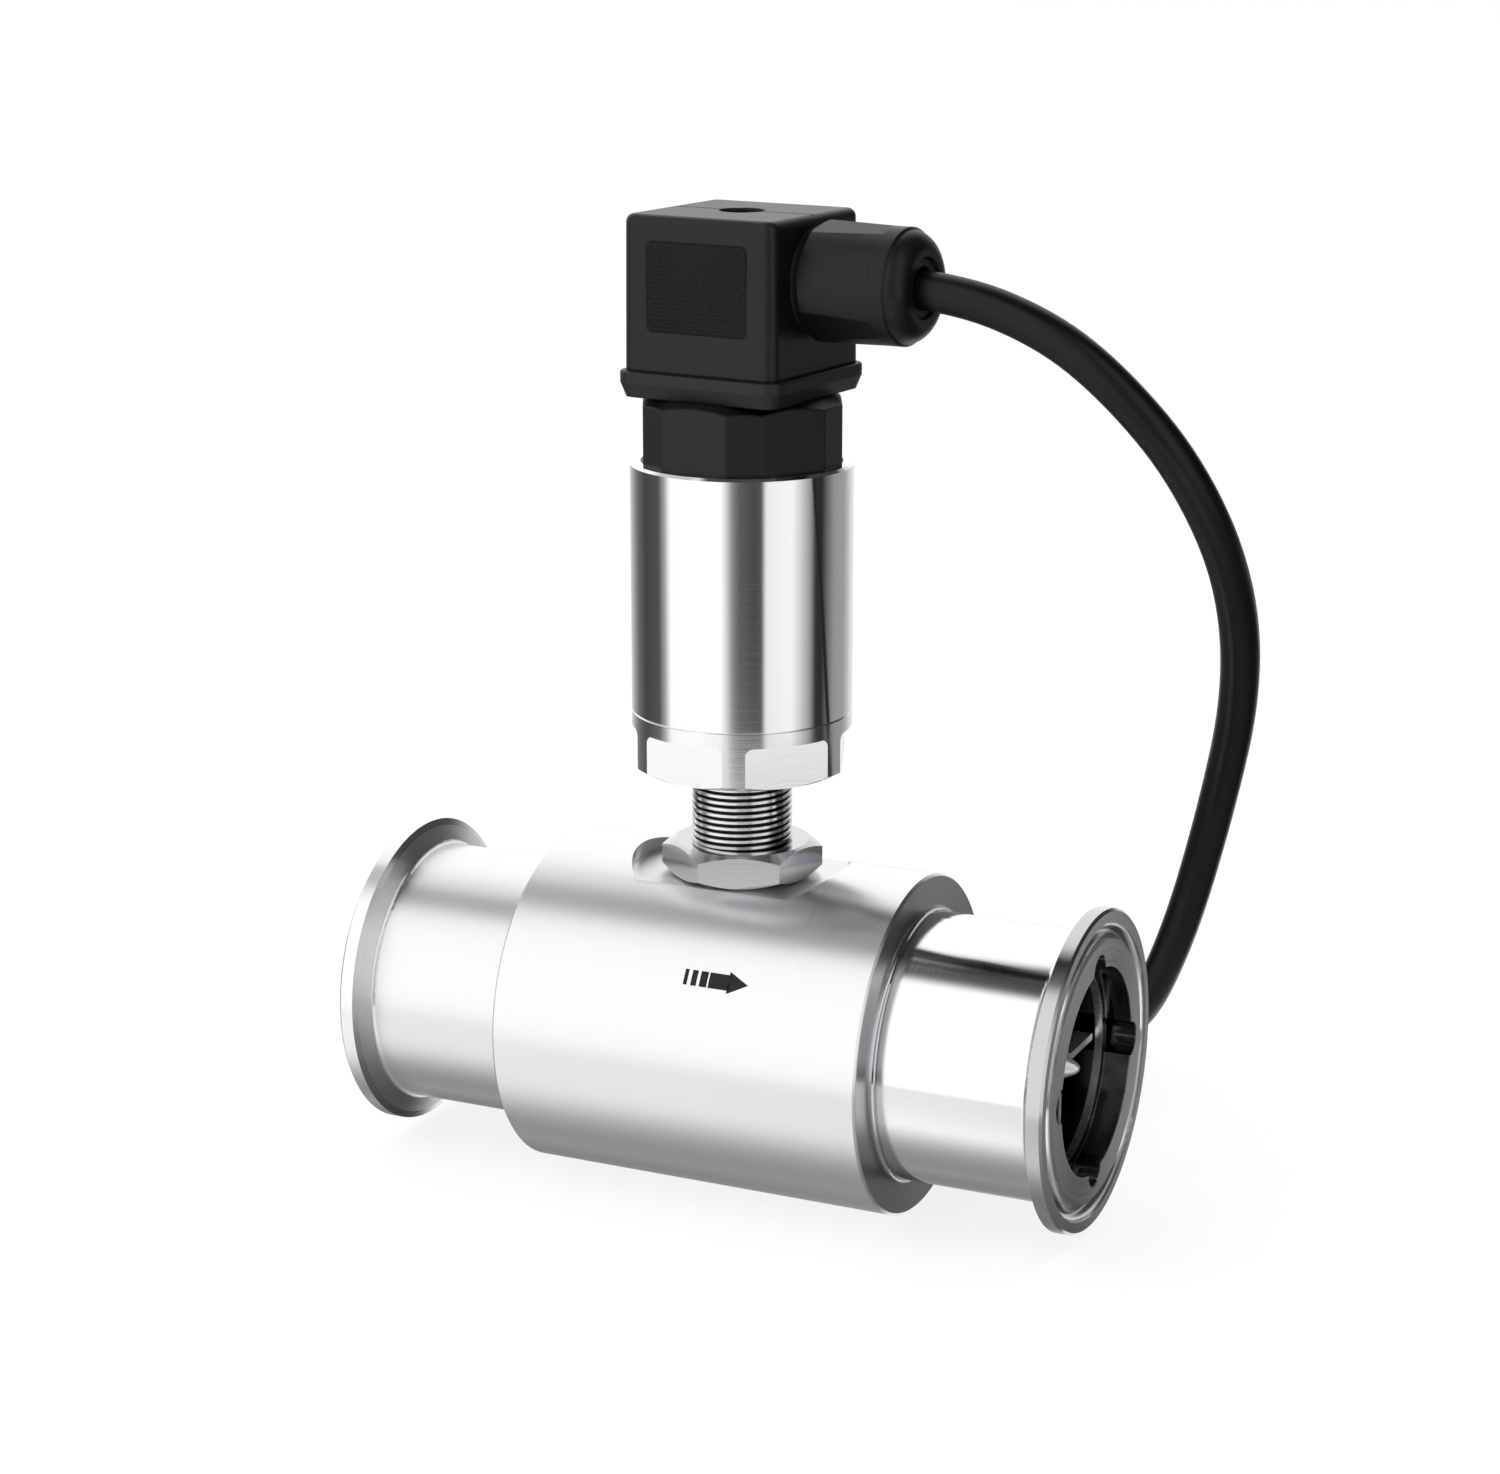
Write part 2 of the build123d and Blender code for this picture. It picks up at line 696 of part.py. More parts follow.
# Plug housing: a hollow cube with a boss and a threaded neck for the gland
plug_front = Plane(
    origin=plug_base.origin - plug_base.y_dir * plug_side / 2,
    x_dir=plug_base.x_dir,
    z_dir=-plug_base.y_dir,
)
with BuildPart() as plug_housing:
    with BuildSketch(plug_base.offset(gasket_top)):
        RectangleRounded(plug_side, plug_side, plug_corner)
    extrude(amount=plug_top - gasket_top, taper=plug_draft)
    fillet(plug_housing.faces().sort_by(Axis.Z)[-1].edges(), plug_edge_radius)
    with BuildSketch(gland_plane.offset(insert_side / 2)):
        Circle(boss_radius)
    extrude(amount=boss_end - insert_side / 2)
    with BuildSketch(gland_plane.offset(boss_end)):
        Circle(gland_neck_radius)
    extrude(amount=gland_neck_end - boss_end)
    with BuildSketch(plug_base.offset(gasket_top)):
        RectangleRounded(insert_side, insert_side, insert_corner)
    extrude(amount=plug_roof - gasket_top, mode=Mode.SUBTRACT)
    with BuildSketch(gland_plane):
        Circle(cable_radius + hole_play)
    extrude(amount=seal_start, mode=Mode.SUBTRACT)
    with BuildSketch(gland_plane.offset(seal_start)):
        Circle(seal_radius)
    extrude(amount=gland_neck_end - seal_start, mode=Mode.SUBTRACT)
    with BuildSketch(plug_base.offset(screw_recess_floor)):
        Circle(screw_recess_radius)
    extrude(amount=plug_top - screw_recess_floor, mode=Mode.SUBTRACT)
    with BuildSketch(plug_base.offset(plug_roof)):
        Circle(screw_radius + hole_play)
    extrude(amount=screw_recess_floor - plug_roof, mode=Mode.SUBTRACT)
    with BuildSketch(plug_front):
        with Locations((0, panel_height)):
            RectangleRounded(*panel_size, panel_corner)
    extrude(amount=-panel_depth, mode=Mode.SUBTRACT)
    with BuildSketch(plug_base.offset(plug_top)):
        Rectangle(plug_side, parting_groove)
    extrude(amount=-parting_groove, mode=Mode.SUBTRACT)
plug_housing.part.label = "plug_housing"
export_step(plug_housing.part, "parts/plug_housing.step")

with BuildPart() as terminal_insert:
    with BuildSketch(plug_base.offset(flange_top)):
        RectangleRounded(insert_side, insert_side, insert_corner)
        Circle(screw_radius + hole_play, mode=Mode.SUBTRACT)
    extrude(amount=insert_top - flange_top)
    with BuildSketch(plug_base.offset(flange_top)):
        with PolarLocations(contact_distance, 4):
            Rectangle(*contact_size)
    extrude(amount=contact_end - flange_top, mode=Mode.SUBTRACT)
terminal_insert.part.label = "terminal_insert"
export_step(terminal_insert.part, "parts/terminal_insert.step")

with BuildPart() as terminal_screws:
    with BuildSketch(plug_base.offset(insert_top)):
        with GridLocations(terminal_spacing, terminal_spacing, 2, 2):
            Circle(terminal_screw_radius)
    extrude(amount=plug_roof - insert_top - edge_break)
    with BuildSketch(plug_base.offset(plug_roof - edge_break)):
        with GridLocations(terminal_spacing, terminal_spacing, 2, 2):
            Rectangle(2 * terminal_screw_radius, screw_slot)
    extrude(amount=-screw_slot, mode=Mode.SUBTRACT)
terminal_screws.part.label = "terminal_screws"
export_step(terminal_screws.part, "parts/terminal_screws.step")

with BuildPart() as screw_washer:
    with BuildSketch(plug_base.offset(screw_recess_floor)):
        Circle(screw_recess_radius - hole_play)
        Circle(screw_radius, mode=Mode.SUBTRACT)
    extrude(amount=screw_washer_height)
screw_washer.part.label = "screw_washer"
export_step(screw_washer.part, "parts/screw_washer.step")

screw_seat = screw_recess_floor + screw_washer_height
with BuildPart() as fixing_screw:
    with BuildSketch(plug_base.offset(screw_end)):
        Circle(screw_radius)
    extrude(amount=screw_seat - screw_end)
    with BuildSketch(plug_base.offset(screw_seat)):
        Circle(screw_head_radius)
    extrude(amount=screw_head_height)
    chamfer(fixing_screw.faces().sort_by(Axis.Z)[-1].edges(), edge_break)
    with BuildSketch(plug_base.offset(screw_seat + screw_head_height)):
        Rectangle(2 * screw_head_radius, screw_slot)
    extrude(amount=-screw_slot, mode=Mode.SUBTRACT)
fixing_screw.part.label = "fixing_screw"
export_step(fixing_screw.part, "parts/fixing_screw.step")

# Cable gland: seal, slip washer and a nut with a hexagon, a collar and a dome
with BuildPart() as gland_seal:
    with BuildSketch(gland_plane.offset(seal_start)):
        Circle(seal_radius)
        Circle(cable_radius, mode=Mode.SUBTRACT)
    extrude(amount=gland_neck_end - seal_start)
gland_seal.part.label = "gland_seal"
export_step(gland_seal.part, "parts/gland_seal.step")

with BuildPart() as gland_washer:
    with BuildSketch(gland_plane.offset(gland_neck_end)):
        Circle(gland_neck_radius)
        Circle(cable_radius + hole_play, mode=Mode.SUBTRACT)
    extrude(amount=gland_washer_thickness)
gland_washer.part.label = "gland_washer"
export_step(gland_washer.part, "parts/gland_washer.step")

with BuildPart() as gland_nut:
    with BuildSketch(gland_plane.offset(boss_end)):
        RegularPolygon(gland_nut_flats / 2, 6, major_radius=False, rotation=gland_nut_turn)
    extrude(amount=gland_hex_end - boss_end)
    with BuildSketch(gland_side):
        Polygon(
            (boss_end, 0),
            (boss_end, gland_nut_corners - edge_break),
            (boss_end + edge_break, gland_nut_corners),
            (gland_hex_end, gland_collar_radius),
            (gland_hex_end, 0),
            align=None,
        )
    revolve(axis=gland_axis, mode=Mode.INTERSECT)
    with BuildSketch(gland_side):
        with BuildLine():
            Polyline(
                (gland_end, 0),
                (gland_hex_end, 0),
                (gland_hex_end, gland_collar_radius),
                (gland_collar_end, gland_collar_radius),
                (gland_dome_start, gland_dome_radius),
            )
            ThreePointArc(
                (gland_dome_start, gland_dome_radius),
                gland_dome_point,
                (gland_end, gland_end_radius),
            )
            Line((gland_end, gland_end_radius), (gland_end, 0))
        make_face()
    revolve(axis=gland_axis)
    with BuildSketch(gland_side):
        Polygon(
            (boss_end, 0),
            (boss_end, gland_neck_radius),
            (gland_neck_end + gland_washer_thickness, gland_neck_radius),
            (gland_neck_end + gland_washer_thickness, cable_radius + hole_play),
            (gland_mouth_floor, cable_radius + hole_play),
            (gland_mouth_floor, gland_throat_radius),
            (gland_end, gland_mouth_radius),
            (gland_end, 0),
            align=None,
        )
    revolve(axis=gland_axis, mode=Mode.SUBTRACT)
gland_nut.part.label = "gland_nut"
export_step(gland_nut.part, "parts/gland_nut.step")

# Cable: straight runs joined by arcs, each as large as its two runs allow
points = [Vector(point) for point in cable_route]
runs = [end - start for start, end in zip(points, points[1:])]
radii = [
    0.45 * min(before.length, after.length) / math.tan(math.radians(before.get_angle(after) / 2))
    for before, after in zip(runs, runs[1:])
]
with BuildPart() as cable:
    with BuildLine() as path:
        FilletPolyline(*cable_route, radius=radii)
    with BuildSketch(Plane(origin=path.line @ 0, z_dir=path.line % 0)):
        Circle(cable_radius)
    sweep()
cable.part.label = "cable"
export_step(cable.part, "parts/cable.step")

# Coil of the cable's spare length, which lies on the floor behind the body
arrival = runs[-1].normalized()
coil_side = Vector(-arrival.Y, arrival.X, 0).normalized()
coil_centre = points[-1] + coil_side * coil_start_radius
coil_middle = (layer_low + layer_high) / 2
coil_base = Plane(origin=(coil_centre.X, coil_centre.Y, 0))
coil_axis = Axis(coil_base.origin, (0, 0, 1))
coil_width = 2 * (coil_start_radius - coil_radius) + 2 * cable_radius
coil_height = layer_high - layer_low + 2 * cable_radius
tie_side = coil_base.rotated((0, 0, tie_turn))
tie_plane = Plane(origin=coil_base.origin, x_dir=tie_side.x_dir, z_dir=-tie_side.y_dir)
tie_arc = math.degrees(tie_width / coil_radius)
with BuildPart() as cable_coil:
    with BuildSketch(tie_plane):
        with Locations((coil_radius, coil_middle)):
            RectangleRounded(coil_width, coil_height, coil_corner)
    revolve(axis=coil_axis)
cable_coil.part.label = "cable_coil"
export_step(cable_coil.part, "parts/cable_coil.step")

with BuildPart() as coil_tie:
    with BuildSketch(tie_plane):
        with Locations((coil_radius, coil_middle)):
            RectangleRounded(
                coil_width + 2 * tie_thickness,
                coil_height + 2 * tie_thickness,
                coil_corner + tie_thickness,
            )
            RectangleRounded(coil_width, coil_height, coil_corner, mode=Mode.SUBTRACT)
        with Locations((coil_start_radius + cable_radius + tie_head / 2, coil_middle)):
            Rectangle(tie_head, tie_width)
    revolve(axis=coil_axis, revolution_arc=tie_arc)
coil_tie.part.label = "coil_tie"
export_step(coil_tie.part, "parts/coil_tie.step")

# The cable's end leaves the coil on the side towards the body, comes down to the floor and lies
# there, with its cores bared
tail_start = Vector(coil_centre.X, coil_centre.Y - coil_start_radius, layer_high)
tail_down = Vector(0, 0, layer_low - layer_high)
tail_floor = tail_start + tail_down + Vector(tail_landing, 0, 0)
tail_end = tail_start + tail_down + Vector(tail_length, 0, 0)
with BuildPart() as cable_tail:
    with BuildLine() as tail_path:
        FilletPolyline(tail_start, tail_floor, tail_end, radius=tail_bend)
    with BuildSketch(Plane(origin=tail_start, z_dir=tail_path.line % 0)):
        Circle(cable_radius)
    sweep()
cable_tail.part.label = "cable_tail"
export_step(cable_tail.part, "parts/cable_tail.step")

with BuildPart() as bared_cores:
    with BuildSketch(Plane(origin=tail_end, z_dir=(1, 0, 0))):
        with PolarLocations(core_circle, 3):
            Circle(core_radius)
    extrude(amount=core_length)
bared_cores.part.label = "bared_cores"
export_step(bared_cores.part, "parts/bared_cores.step")

cable_length = sum(edge.length for edge in path.edges())
print("bend radii:", [round(radius, 1) for radius in radii])
print("cable volume:", round(cable.part.volume))
print("section times length:", round(math.pi * cable_radius**2 * cable_length))
print("cable length:", round(cable_length, 1))
print("coil centre:", coil_centre)
print("cable end:", tail_end)
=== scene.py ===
# %% [markdown]
# # A turbine flow meter for hygienic pipe
#
# Flow runs through the lying steel body, from the ferrule on the left to the one on the right. A
# bladed rotor inside turns with it, and the pickup that stands on the body counts the blades.
# The CAD model gives every solid its shape and place, in metres, with the flow along +X and the
# pickup along +Z. This file gives them their finishes, adds what is too fine for the CAD (the
# thread, the flow mark, the rubber in the gland's mouth, the grained panel), lays the cable, and
# sets the studio round the meter.

# %% Load the fixed frame
import math

import bpy
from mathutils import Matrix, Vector


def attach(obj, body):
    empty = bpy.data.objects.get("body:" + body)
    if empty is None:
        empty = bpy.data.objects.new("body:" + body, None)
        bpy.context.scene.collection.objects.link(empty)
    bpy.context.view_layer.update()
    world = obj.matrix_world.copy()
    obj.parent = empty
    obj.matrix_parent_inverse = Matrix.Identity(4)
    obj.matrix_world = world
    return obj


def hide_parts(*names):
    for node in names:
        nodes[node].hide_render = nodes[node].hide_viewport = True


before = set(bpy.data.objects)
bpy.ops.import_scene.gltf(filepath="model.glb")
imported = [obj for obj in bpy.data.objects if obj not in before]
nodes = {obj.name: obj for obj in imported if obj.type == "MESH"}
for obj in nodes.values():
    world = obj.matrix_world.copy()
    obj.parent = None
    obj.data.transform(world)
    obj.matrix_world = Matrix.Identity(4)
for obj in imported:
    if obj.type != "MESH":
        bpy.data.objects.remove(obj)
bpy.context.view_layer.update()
scene = bpy.context.scene
scene.view_settings.view_transform = "Standard"

# %% [markdown]
# ## Camera
#
# A long lens from about half a metre away flattens the perspective as a catalogue photograph
# does. The camera looks down a little and stands to the right of the body's middle, so that the
# right-hand ferrule shows its open end. It is placed first, because everything is judged from it.

# %% Place the camera
camera_place = Vector((0.2719, -0.4561, 0.1803))
camera_aim = Vector((0.06097, 0.00083, 0.04630))
lens = 79.57
sensor = 36.0

bpy.ops.object.camera_add(location=camera_place)
camera = bpy.context.object
camera.name = "camera"
camera.rotation_euler = (camera_aim - camera_place).to_track_quat("-Z", "Y").to_euler()
camera.data.lens = lens
camera.data.sensor_width = sensor
scene.camera = camera
print("camera distance:", round((camera_aim - camera_place).length, 4), "m")

# %% [markdown]
# ## Cable
#
# The lead is a round PVC cable of 6 mm and about 1.5 m. It leaves the gland level, bends down
# under its own weight, reaches the table behind the meter, and the rest of it lies there in a
# tied coil of two layers. A cable is one length of something flexible, so its middle line is one
# smooth spline, and a round bevel gives that line its thickness. The spline's first points are
# the route of the CAD cable. A coil is easier to work out than to draw, so a loop adds its turns.

# %% Write down the route from the gland to the table
cable_radius = 0.003
floor_height = -0.027
layer_low = -0.0234
layer_high = -0.0174
route = [
    (0.08286, -0.00252, 0.1188),
    (0.0954, -0.00391, 0.1188),
    (0.1110, -0.0054, 0.1142),
    (0.1220, -0.0054, 0.1064),
    (0.1316, -0.0018, 0.0944),
    (0.1366, 0.0074, 0.0774),
    (0.1344, 0.0216, 0.0570),
    (0.1268, 0.0344, 0.0324),
    (0.1176, 0.0464, 0.0066),
    (0.1066, 0.0588, -0.0140),
    (0.0904, 0.0738, -0.0240),
    (0.0690, 0.0932, -0.0240),
    (0.0485, 0.1067, layer_low),
]
print("route points:", len(route))

# %% [markdown]
# Neighbouring turns of the coil lie one cable thickness apart. Nearly three turns make the lower
# layer from the outside in, the cable then climbs by its own thickness, and nearly three more lie
# on top, from the inside out. A table of turned angle, radius and height says where one turn
# passes into the next, and values between its lines are blended.

# %% Add the turns of the coil to the route
coil_centre = Vector((0.02705, 0.07413, 0.0))
coil_start = math.degrees(math.atan2(route[-1][1] - coil_centre.y, route[-1][0] - coil_centre.x))
coil_plan = [
    (0.0, 0.039, layer_low),
    (300.0, 0.039, layer_low),
    (360.0, 0.033, layer_low),
    (660.0, 0.033, layer_low),
    (720.0, 0.027, layer_low),
    (960.0, 0.027, layer_low),
    (1020.0, 0.027, layer_high),
    (1260.0, 0.027, layer_high),
    (1320.0, 0.033, layer_high),
    (1620.0, 0.033, layer_high),
    (1680.0, 0.039, layer_high),
    (2160.0, 0.039, layer_high),
]


def coil_line(turned):
    """The coil's radius and height after a turned angle, in degrees."""
    for (a, r0, z0), (b, r1, z1) in zip(coil_plan, coil_plan[1:]):
        if turned <= b:
            share = (turned - a) / (b - a)
            return r0 + (r1 - r0) * share, z0 + (z1 - z0) * share
    return coil_plan[-1][1], coil_plan[-1][2]


coil_step = 30.0
coil_leave = 2070.0  # counted from +X: here the cable heads along +X, towards its end
coil_end = coil_leave - coil_start
stretch = 1.0 / math.cos(math.radians(coil_step / 2))  # a spline runs inside its points
turns = []
turned = coil_step / 2
while turned < coil_end:
    radius, height = coil_line(turned)
    angle = math.radians(coil_start + turned)
    reach = radius * stretch
    x = coil_centre.x + reach * math.cos(angle)
    y = coil_centre.y + reach * math.sin(angle)
    turns.append((x, y, height))
    turned += coil_step
tail = [
    (0.0375, 0.03513, layer_high),
    (0.0450, 0.03513, -0.0186),
    (0.0530, 0.03513, layer_low),
    (0.0631, 0.03513, layer_low),
]
print("coil points:", len(turns), "turns:", round(coil_end / 360, 2))

# %% [markdown]
# The bevel is a circle of one metre, and each point of the spline carries the real radius, which
# shrinks the circle to it. A small circle with points left at one looks the same, but the box
# that Blender reckons round a curve adds the points' radius, a metre too much on every side.

# %% Lay the cable along the spline
def round_line(name, places, radius, roundness, steps):
    """A smooth round line along places. Roundness and steps say how finely it is cut."""
    curve = bpy.data.curves.new(name, "CURVE")
    curve.dimensions = "3D"
    spline = curve.splines.new("NURBS")
    spline.points.add(len(places) - 1)
    for point, place in zip(spline.points, places):
        point.co = (*place, 1.0)
        point.radius = radius
    spline.order_u = 3
    spline.use_endpoint_u = True
    spline.resolution_u = steps
    curve.bevel_depth = 1.0
    curve.bevel_resolution = roundness
    curve.use_fill_caps = True
    piece = bpy.data.objects.new(name, curve)
    scene.collection.objects.link(piece)
    return piece


cord_points = route + turns + tail
cable_piece = round_line("lead_cable", cord_points, cable_radius, roundness=6, steps=8)
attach(cable_piece, "meter")
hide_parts("cable", "cable_coil", "cable_tail")
print("cable control points:", len(cord_points))

# %% [markdown]
# The lead ends as it is sold, with its jacket stripped and its three cores bared. Each core is a
# short spline of its own that leaves the jacket straight and then strays a little, because stiff
# copper keeps the bend that a hand gave it. A crimped sleeve closes each end.

# %% Bare the three cores at the cable's end
core_radius = 0.00065
core_paths = {
    "core_brown": [
        (0.062, 0.03513, -0.0221),
        (0.068, 0.0352, -0.0221),
        (0.075, 0.0359, -0.0226),
        (0.0825, 0.0358, -0.0233),
    ],
    "core_blue": [
        (0.062, 0.0340, -0.02405),
        (0.068, 0.0338, -0.0241),
        (0.074, 0.0330, -0.0245),
        (0.0825, 0.0331, -0.0250),
    ],
    "core_black": [
        (0.062, 0.03625, -0.02405),
        (0.069, 0.0364, -0.0242),
        (0.076, 0.0378, -0.0250),
        (0.0815, 0.0389, -0.0256),
    ],
}
cores = []
for name, path in core_paths.items():
    core = round_line(name, path, core_radius, roundness=4, steps=12)
    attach(core, "meter")
    cores.append(core)
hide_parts("bared_cores")
print("cores:", [core.name for core in cores])


# %% Prepare to model by hand
def clear_selection():
    """Deselects everything, so that an operator acts on new work alone."""
    bpy.ops.object.select_all(action="DESELECT")


def settle(piece):
    """Puts an object's place into its mesh and leaves the object at the origin."""
    clear_selection()
    piece.select_set(True)
    bpy.context.view_layer.objects.active = piece
    bpy.ops.object.transform_apply(location=True, rotation=True, scale=True)


def pick_faces(piece, wanted):
    """In edit mode, selects the faces whose normal answers a question."""
    bpy.ops.mesh.select_mode(type="FACE")
    bpy.ops.mesh.select_all(action="DESELECT")
    bpy.ops.object.mode_set(mode="OBJECT")
    for face in piece.data.polygons:
        face.select = bool(wanted(face.normal))
    bpy.ops.object.mode_set(mode="EDIT")


print("modelling helpers are ready")

# %% [markdown]
# A sleeve is a short funnel that takes the core in, a neck, and a thin pin that goes into the
# screw terminal. It is a cylinder whose far end is inset and drawn out twice. It is modelled once,
# and each core's end gets a copy, turned the way the core points.

# %% Crimp a sleeve on each core
funnel_radius = 0.00085
funnel_length = 0.0022
funnel_wall = 0.00015
neck_length = 0.0006
neck_wall = 0.0001
pin_length = 0.0022

clear_selection()
bpy.ops.mesh.primitive_cylinder_add(vertices=20, radius=funnel_radius, depth=funnel_length)
first_sleeve = bpy.context.object
bpy.ops.object.mode_set(mode="EDIT")
pick_faces(first_sleeve, lambda normal: normal.z > 0.9)
for wall, length in ((funnel_wall, neck_length), (neck_wall, pin_length)):
    bpy.ops.mesh.inset(thickness=wall)
    bpy.ops.mesh.extrude_region_move(TRANSFORM_OT_translate={"value": (0.0, 0.0, length)})
bpy.ops.object.mode_set(mode="OBJECT")
bpy.ops.object.shade_smooth_by_angle(angle=math.radians(35))
sleeves = []
for core, path in zip(cores, core_paths.values()):
    end = Vector(path[-1])
    heading = (end - Vector(path[-2])).normalized()
    sleeve = first_sleeve.copy()
    sleeve.data = first_sleeve.data.copy()
    sleeve.name = core.name.replace("core", "sleeve")
    scene.collection.objects.link(sleeve)
    sleeve.location = end
    sleeve.rotation_euler = heading.to_track_quat("Z", "Y").to_euler()
    settle(sleeve)
    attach(sleeve, "meter")
    sleeves.append(sleeve)
bpy.data.objects.remove(first_sleeve)
print("sleeves:", [len(sleeve.data.polygons) for sleeve in sleeves], "faces")

# %% [markdown]
# ## Helpers for the materials
#
# Colours are written as the hex values that a paint program shows, and Blender reckons in linear
# light, so one function turns the first into the second. Another adds a node to a tree, sets its
# settings and sockets, and joins the links, which keeps each material below to a few lines.

# %% Turn a hex colour to linear light
def linear(code):
    """An sRGB hex colour as linear red, green, blue and alpha."""
    parts = [int(code[i : i + 2], 16) / 255 for i in (1, 3, 5)]
    light = [c / 12.92 if c <= 0.04045 else ((c + 0.055) / 1.055) ** 2.4 for c in parts]
    return (*light, 1.0)


print("mid grey #808080 is", round(linear("#808080")[0], 3), "in linear light")


# %% Add a node with its settings and links
def add(tree, kind, sockets=(), **settings):
    """Adds a node. Sockets map a name or number to a value, or to another node's output."""
    node = tree.nodes.new(kind)
    for name, value in settings.items():
        setattr(node, name, value)
    for name, value in dict(sockets).items():
        if isinstance(value, bpy.types.NodeSocket):
            tree.links.new(value, node.inputs[name])
        else:
            node.inputs[name].default_value = value
    return node


def new_material(name, colour, metallic, roughness, specular=0.5):
    """A material with a Principled shader. Returns the material, its tree and the shader."""
    material = bpy.data.materials.new(name)
    material.use_nodes = True
    tree = material.node_tree
    shader = tree.nodes["Principled BSDF"]
    shader.inputs["Base Color"].default_value = linear(colour)
    shader.inputs["Metallic"].default_value = metallic
    shader.inputs["Roughness"].default_value = roughness
    shader.inputs["Specular IOR Level"].default_value = specular
    return material, tree, shader


def dress(material, *names):
    """Gives CAD nodes a material."""
    for name in names:
        for place in nodes[name].material_slots:
            place.material = material


print("material helpers are ready")

# %% [markdown]
# No surface is the same all over. A pattern of 0 to 1 is therefore given three jobs: it moves the
# roughness between two values, it tilts the surface as a height would, or it lays another colour
# over the first. The same three jobs then serve every pattern, from lathe grooves to mould grain.

# %% Let a pattern change a surface
def uneven(tree, shader, pattern, low, high):
    """Lets a pattern move the roughness between two values."""
    rough = add(tree, "ShaderNodeMapRange", {"Value": pattern, "To Min": low, "To Max": high})
    tree.links.new(rough.outputs[0], shader.inputs["Roughness"])


def tilt(tree, shader, pattern, depth, strength):
    """Lets a pattern tilt the surface, as if it were as deep as a depth in metres."""
    bump = add(tree, "ShaderNodeBump", {"Height": pattern, "Distance": depth, "Strength": strength})
    tree.links.new(bump.outputs[0], shader.inputs["Normal"])
    return bump


def paint(tree, shader, *patches):
    """Lays patches over the shader's own colour, each a pattern with a hex colour."""
    colour = tuple(shader.inputs["Base Color"].default_value)
    for pattern, shade in patches:
        mixed = add(
            tree, "ShaderNodeMix", {0: pattern, 6: colour, 7: linear(shade)}, data_type="RGBA"
        )
        colour = mixed.outputs[2]
    tree.links.new(colour, shader.inputs["Base Color"])


print("surface helpers are ready")

# %% [markdown]
# ## Turned stainless steel
#
# The body, the base and the housing are stainless steel from the lathe. The tool leaves fine
# grooves round the axis: lines on the cylinders and circles on the end faces. Both come from one
# number, the distance along the axis plus the distance from it, because on a cylinder only the
# first changes and on an end face only the second. A one-dimensional noise of that number is the
# same all the way round, as a groove is. It moves the roughness a little and tilts the surface a
# little, so that a reflection breaks into fine lines.

# %% Read the distance along an axis and from it
def from_centre(tree, centre):
    """A point's place in metres, seen from a centre."""
    coords = add(tree, "ShaderNodeTexCoord").outputs["Object"]
    moved = add(tree, "ShaderNodeVectorMath", {0: coords, 1: centre}, operation="SUBTRACT")
    return moved.outputs[0]


def lathe_distance(tree, axis, centre):
    """Distance along an axis plus distance from it, and then each of the two, in metres."""
    split = add(tree, "ShaderNodeSeparateXYZ", {0: from_centre(tree, centre)})
    along = split.outputs[axis]
    across = [split.outputs[name] for name in "XYZ" if name != axis]
    flat = add(tree, "ShaderNodeCombineXYZ", {0: across[0], 1: across[1]})
    distance = add(tree, "ShaderNodeVectorMath", {0: flat.outputs[0]}, operation="LENGTH")
    away = distance.outputs["Value"]
    total = add(tree, "ShaderNodeMath", {0: along, 1: away}, operation="ADD")
    return total.outputs[0], along, away


def groove_noise(tree, distance, pitch):
    """Noise that changes about once in a pitch, in metres, along a distance."""
    noise = add(
        tree,
        "ShaderNodeTexNoise",
        {"W": distance, "Scale": 1.0 / pitch, "Detail": 2.0, "Roughness": 0.6},
        noise_dimensions="1D",
    )
    return noise.outputs["Fac"]


def brush(tree, shader, axis, centre, amount):
    """Draws highlights out across the grooves that run round an axis."""
    place = from_centre(tree, centre)
    groove = add(tree, "ShaderNodeVectorMath", {0: axis, 1: place}, operation="CROSS_PRODUCT")
    tree.links.new(groove.outputs[0], shader.inputs["Tangent"])
    shader.inputs["Anisotropic"].default_value = amount
    shader.inputs["Anisotropic Rotation"].default_value = 0.25  # a quarter turn: across the groove


print("lathe helpers are ready")

# %% [markdown]
# One turned piece often has several finishes, and each has its own zone. The distances along the
# axis and from it decide whether a point lies in a zone. A chain of comparisons multiplied
# together is one where all of them hold, and nought elsewhere.

# %% Mark a zone of a turned piece
def zone(tree, *spans):
    """One inside a zone and nought outside. A span is a distance, then its least and its most."""
    inside = 1.0
    for distance, least, most in spans:
        for limit, operation in ((least, "GREATER_THAN"), (most, "LESS_THAN")):
            if limit is not None:
                test = add(tree, "ShaderNodeMath", {0: distance, 1: limit}, operation=operation)
                both = {0: inside, 1: test.outputs[0]}
                inside = add(tree, "ShaderNodeMath", both, operation="MULTIPLY").outputs[0]
    return inside


print("zones are ready")

# %% [markdown]
# The body is one turned piece. The drum and the inlet neck are brushed and show wide, soft
# reflections. The outlet neck is polished for hygiene and shows narrow, crisp ones, and the
# ferrules lie between the two. The pocket's floor was milled, and is the dullest place of all. The
# grooves also stretch each highlight across themselves, which fans it out on the end faces, and
# the Anisotropic setting does that once it knows which way the grooves run.

# %% Set how the meter body shines
body_middle = 0.06
body_centre = (body_middle, 0.0, 0.0)
flow_axis = (1.0, 0.0, 0.0)
outlet_neck = (0.0312, 0.0571)
pocket_radius = 0.0176
pocket_floor = 0.0243
pocket_wall = 0.0247
turning_pitch = 0.00035  # finer than 0.1 mm in the real one, drawn coarser so that it shows

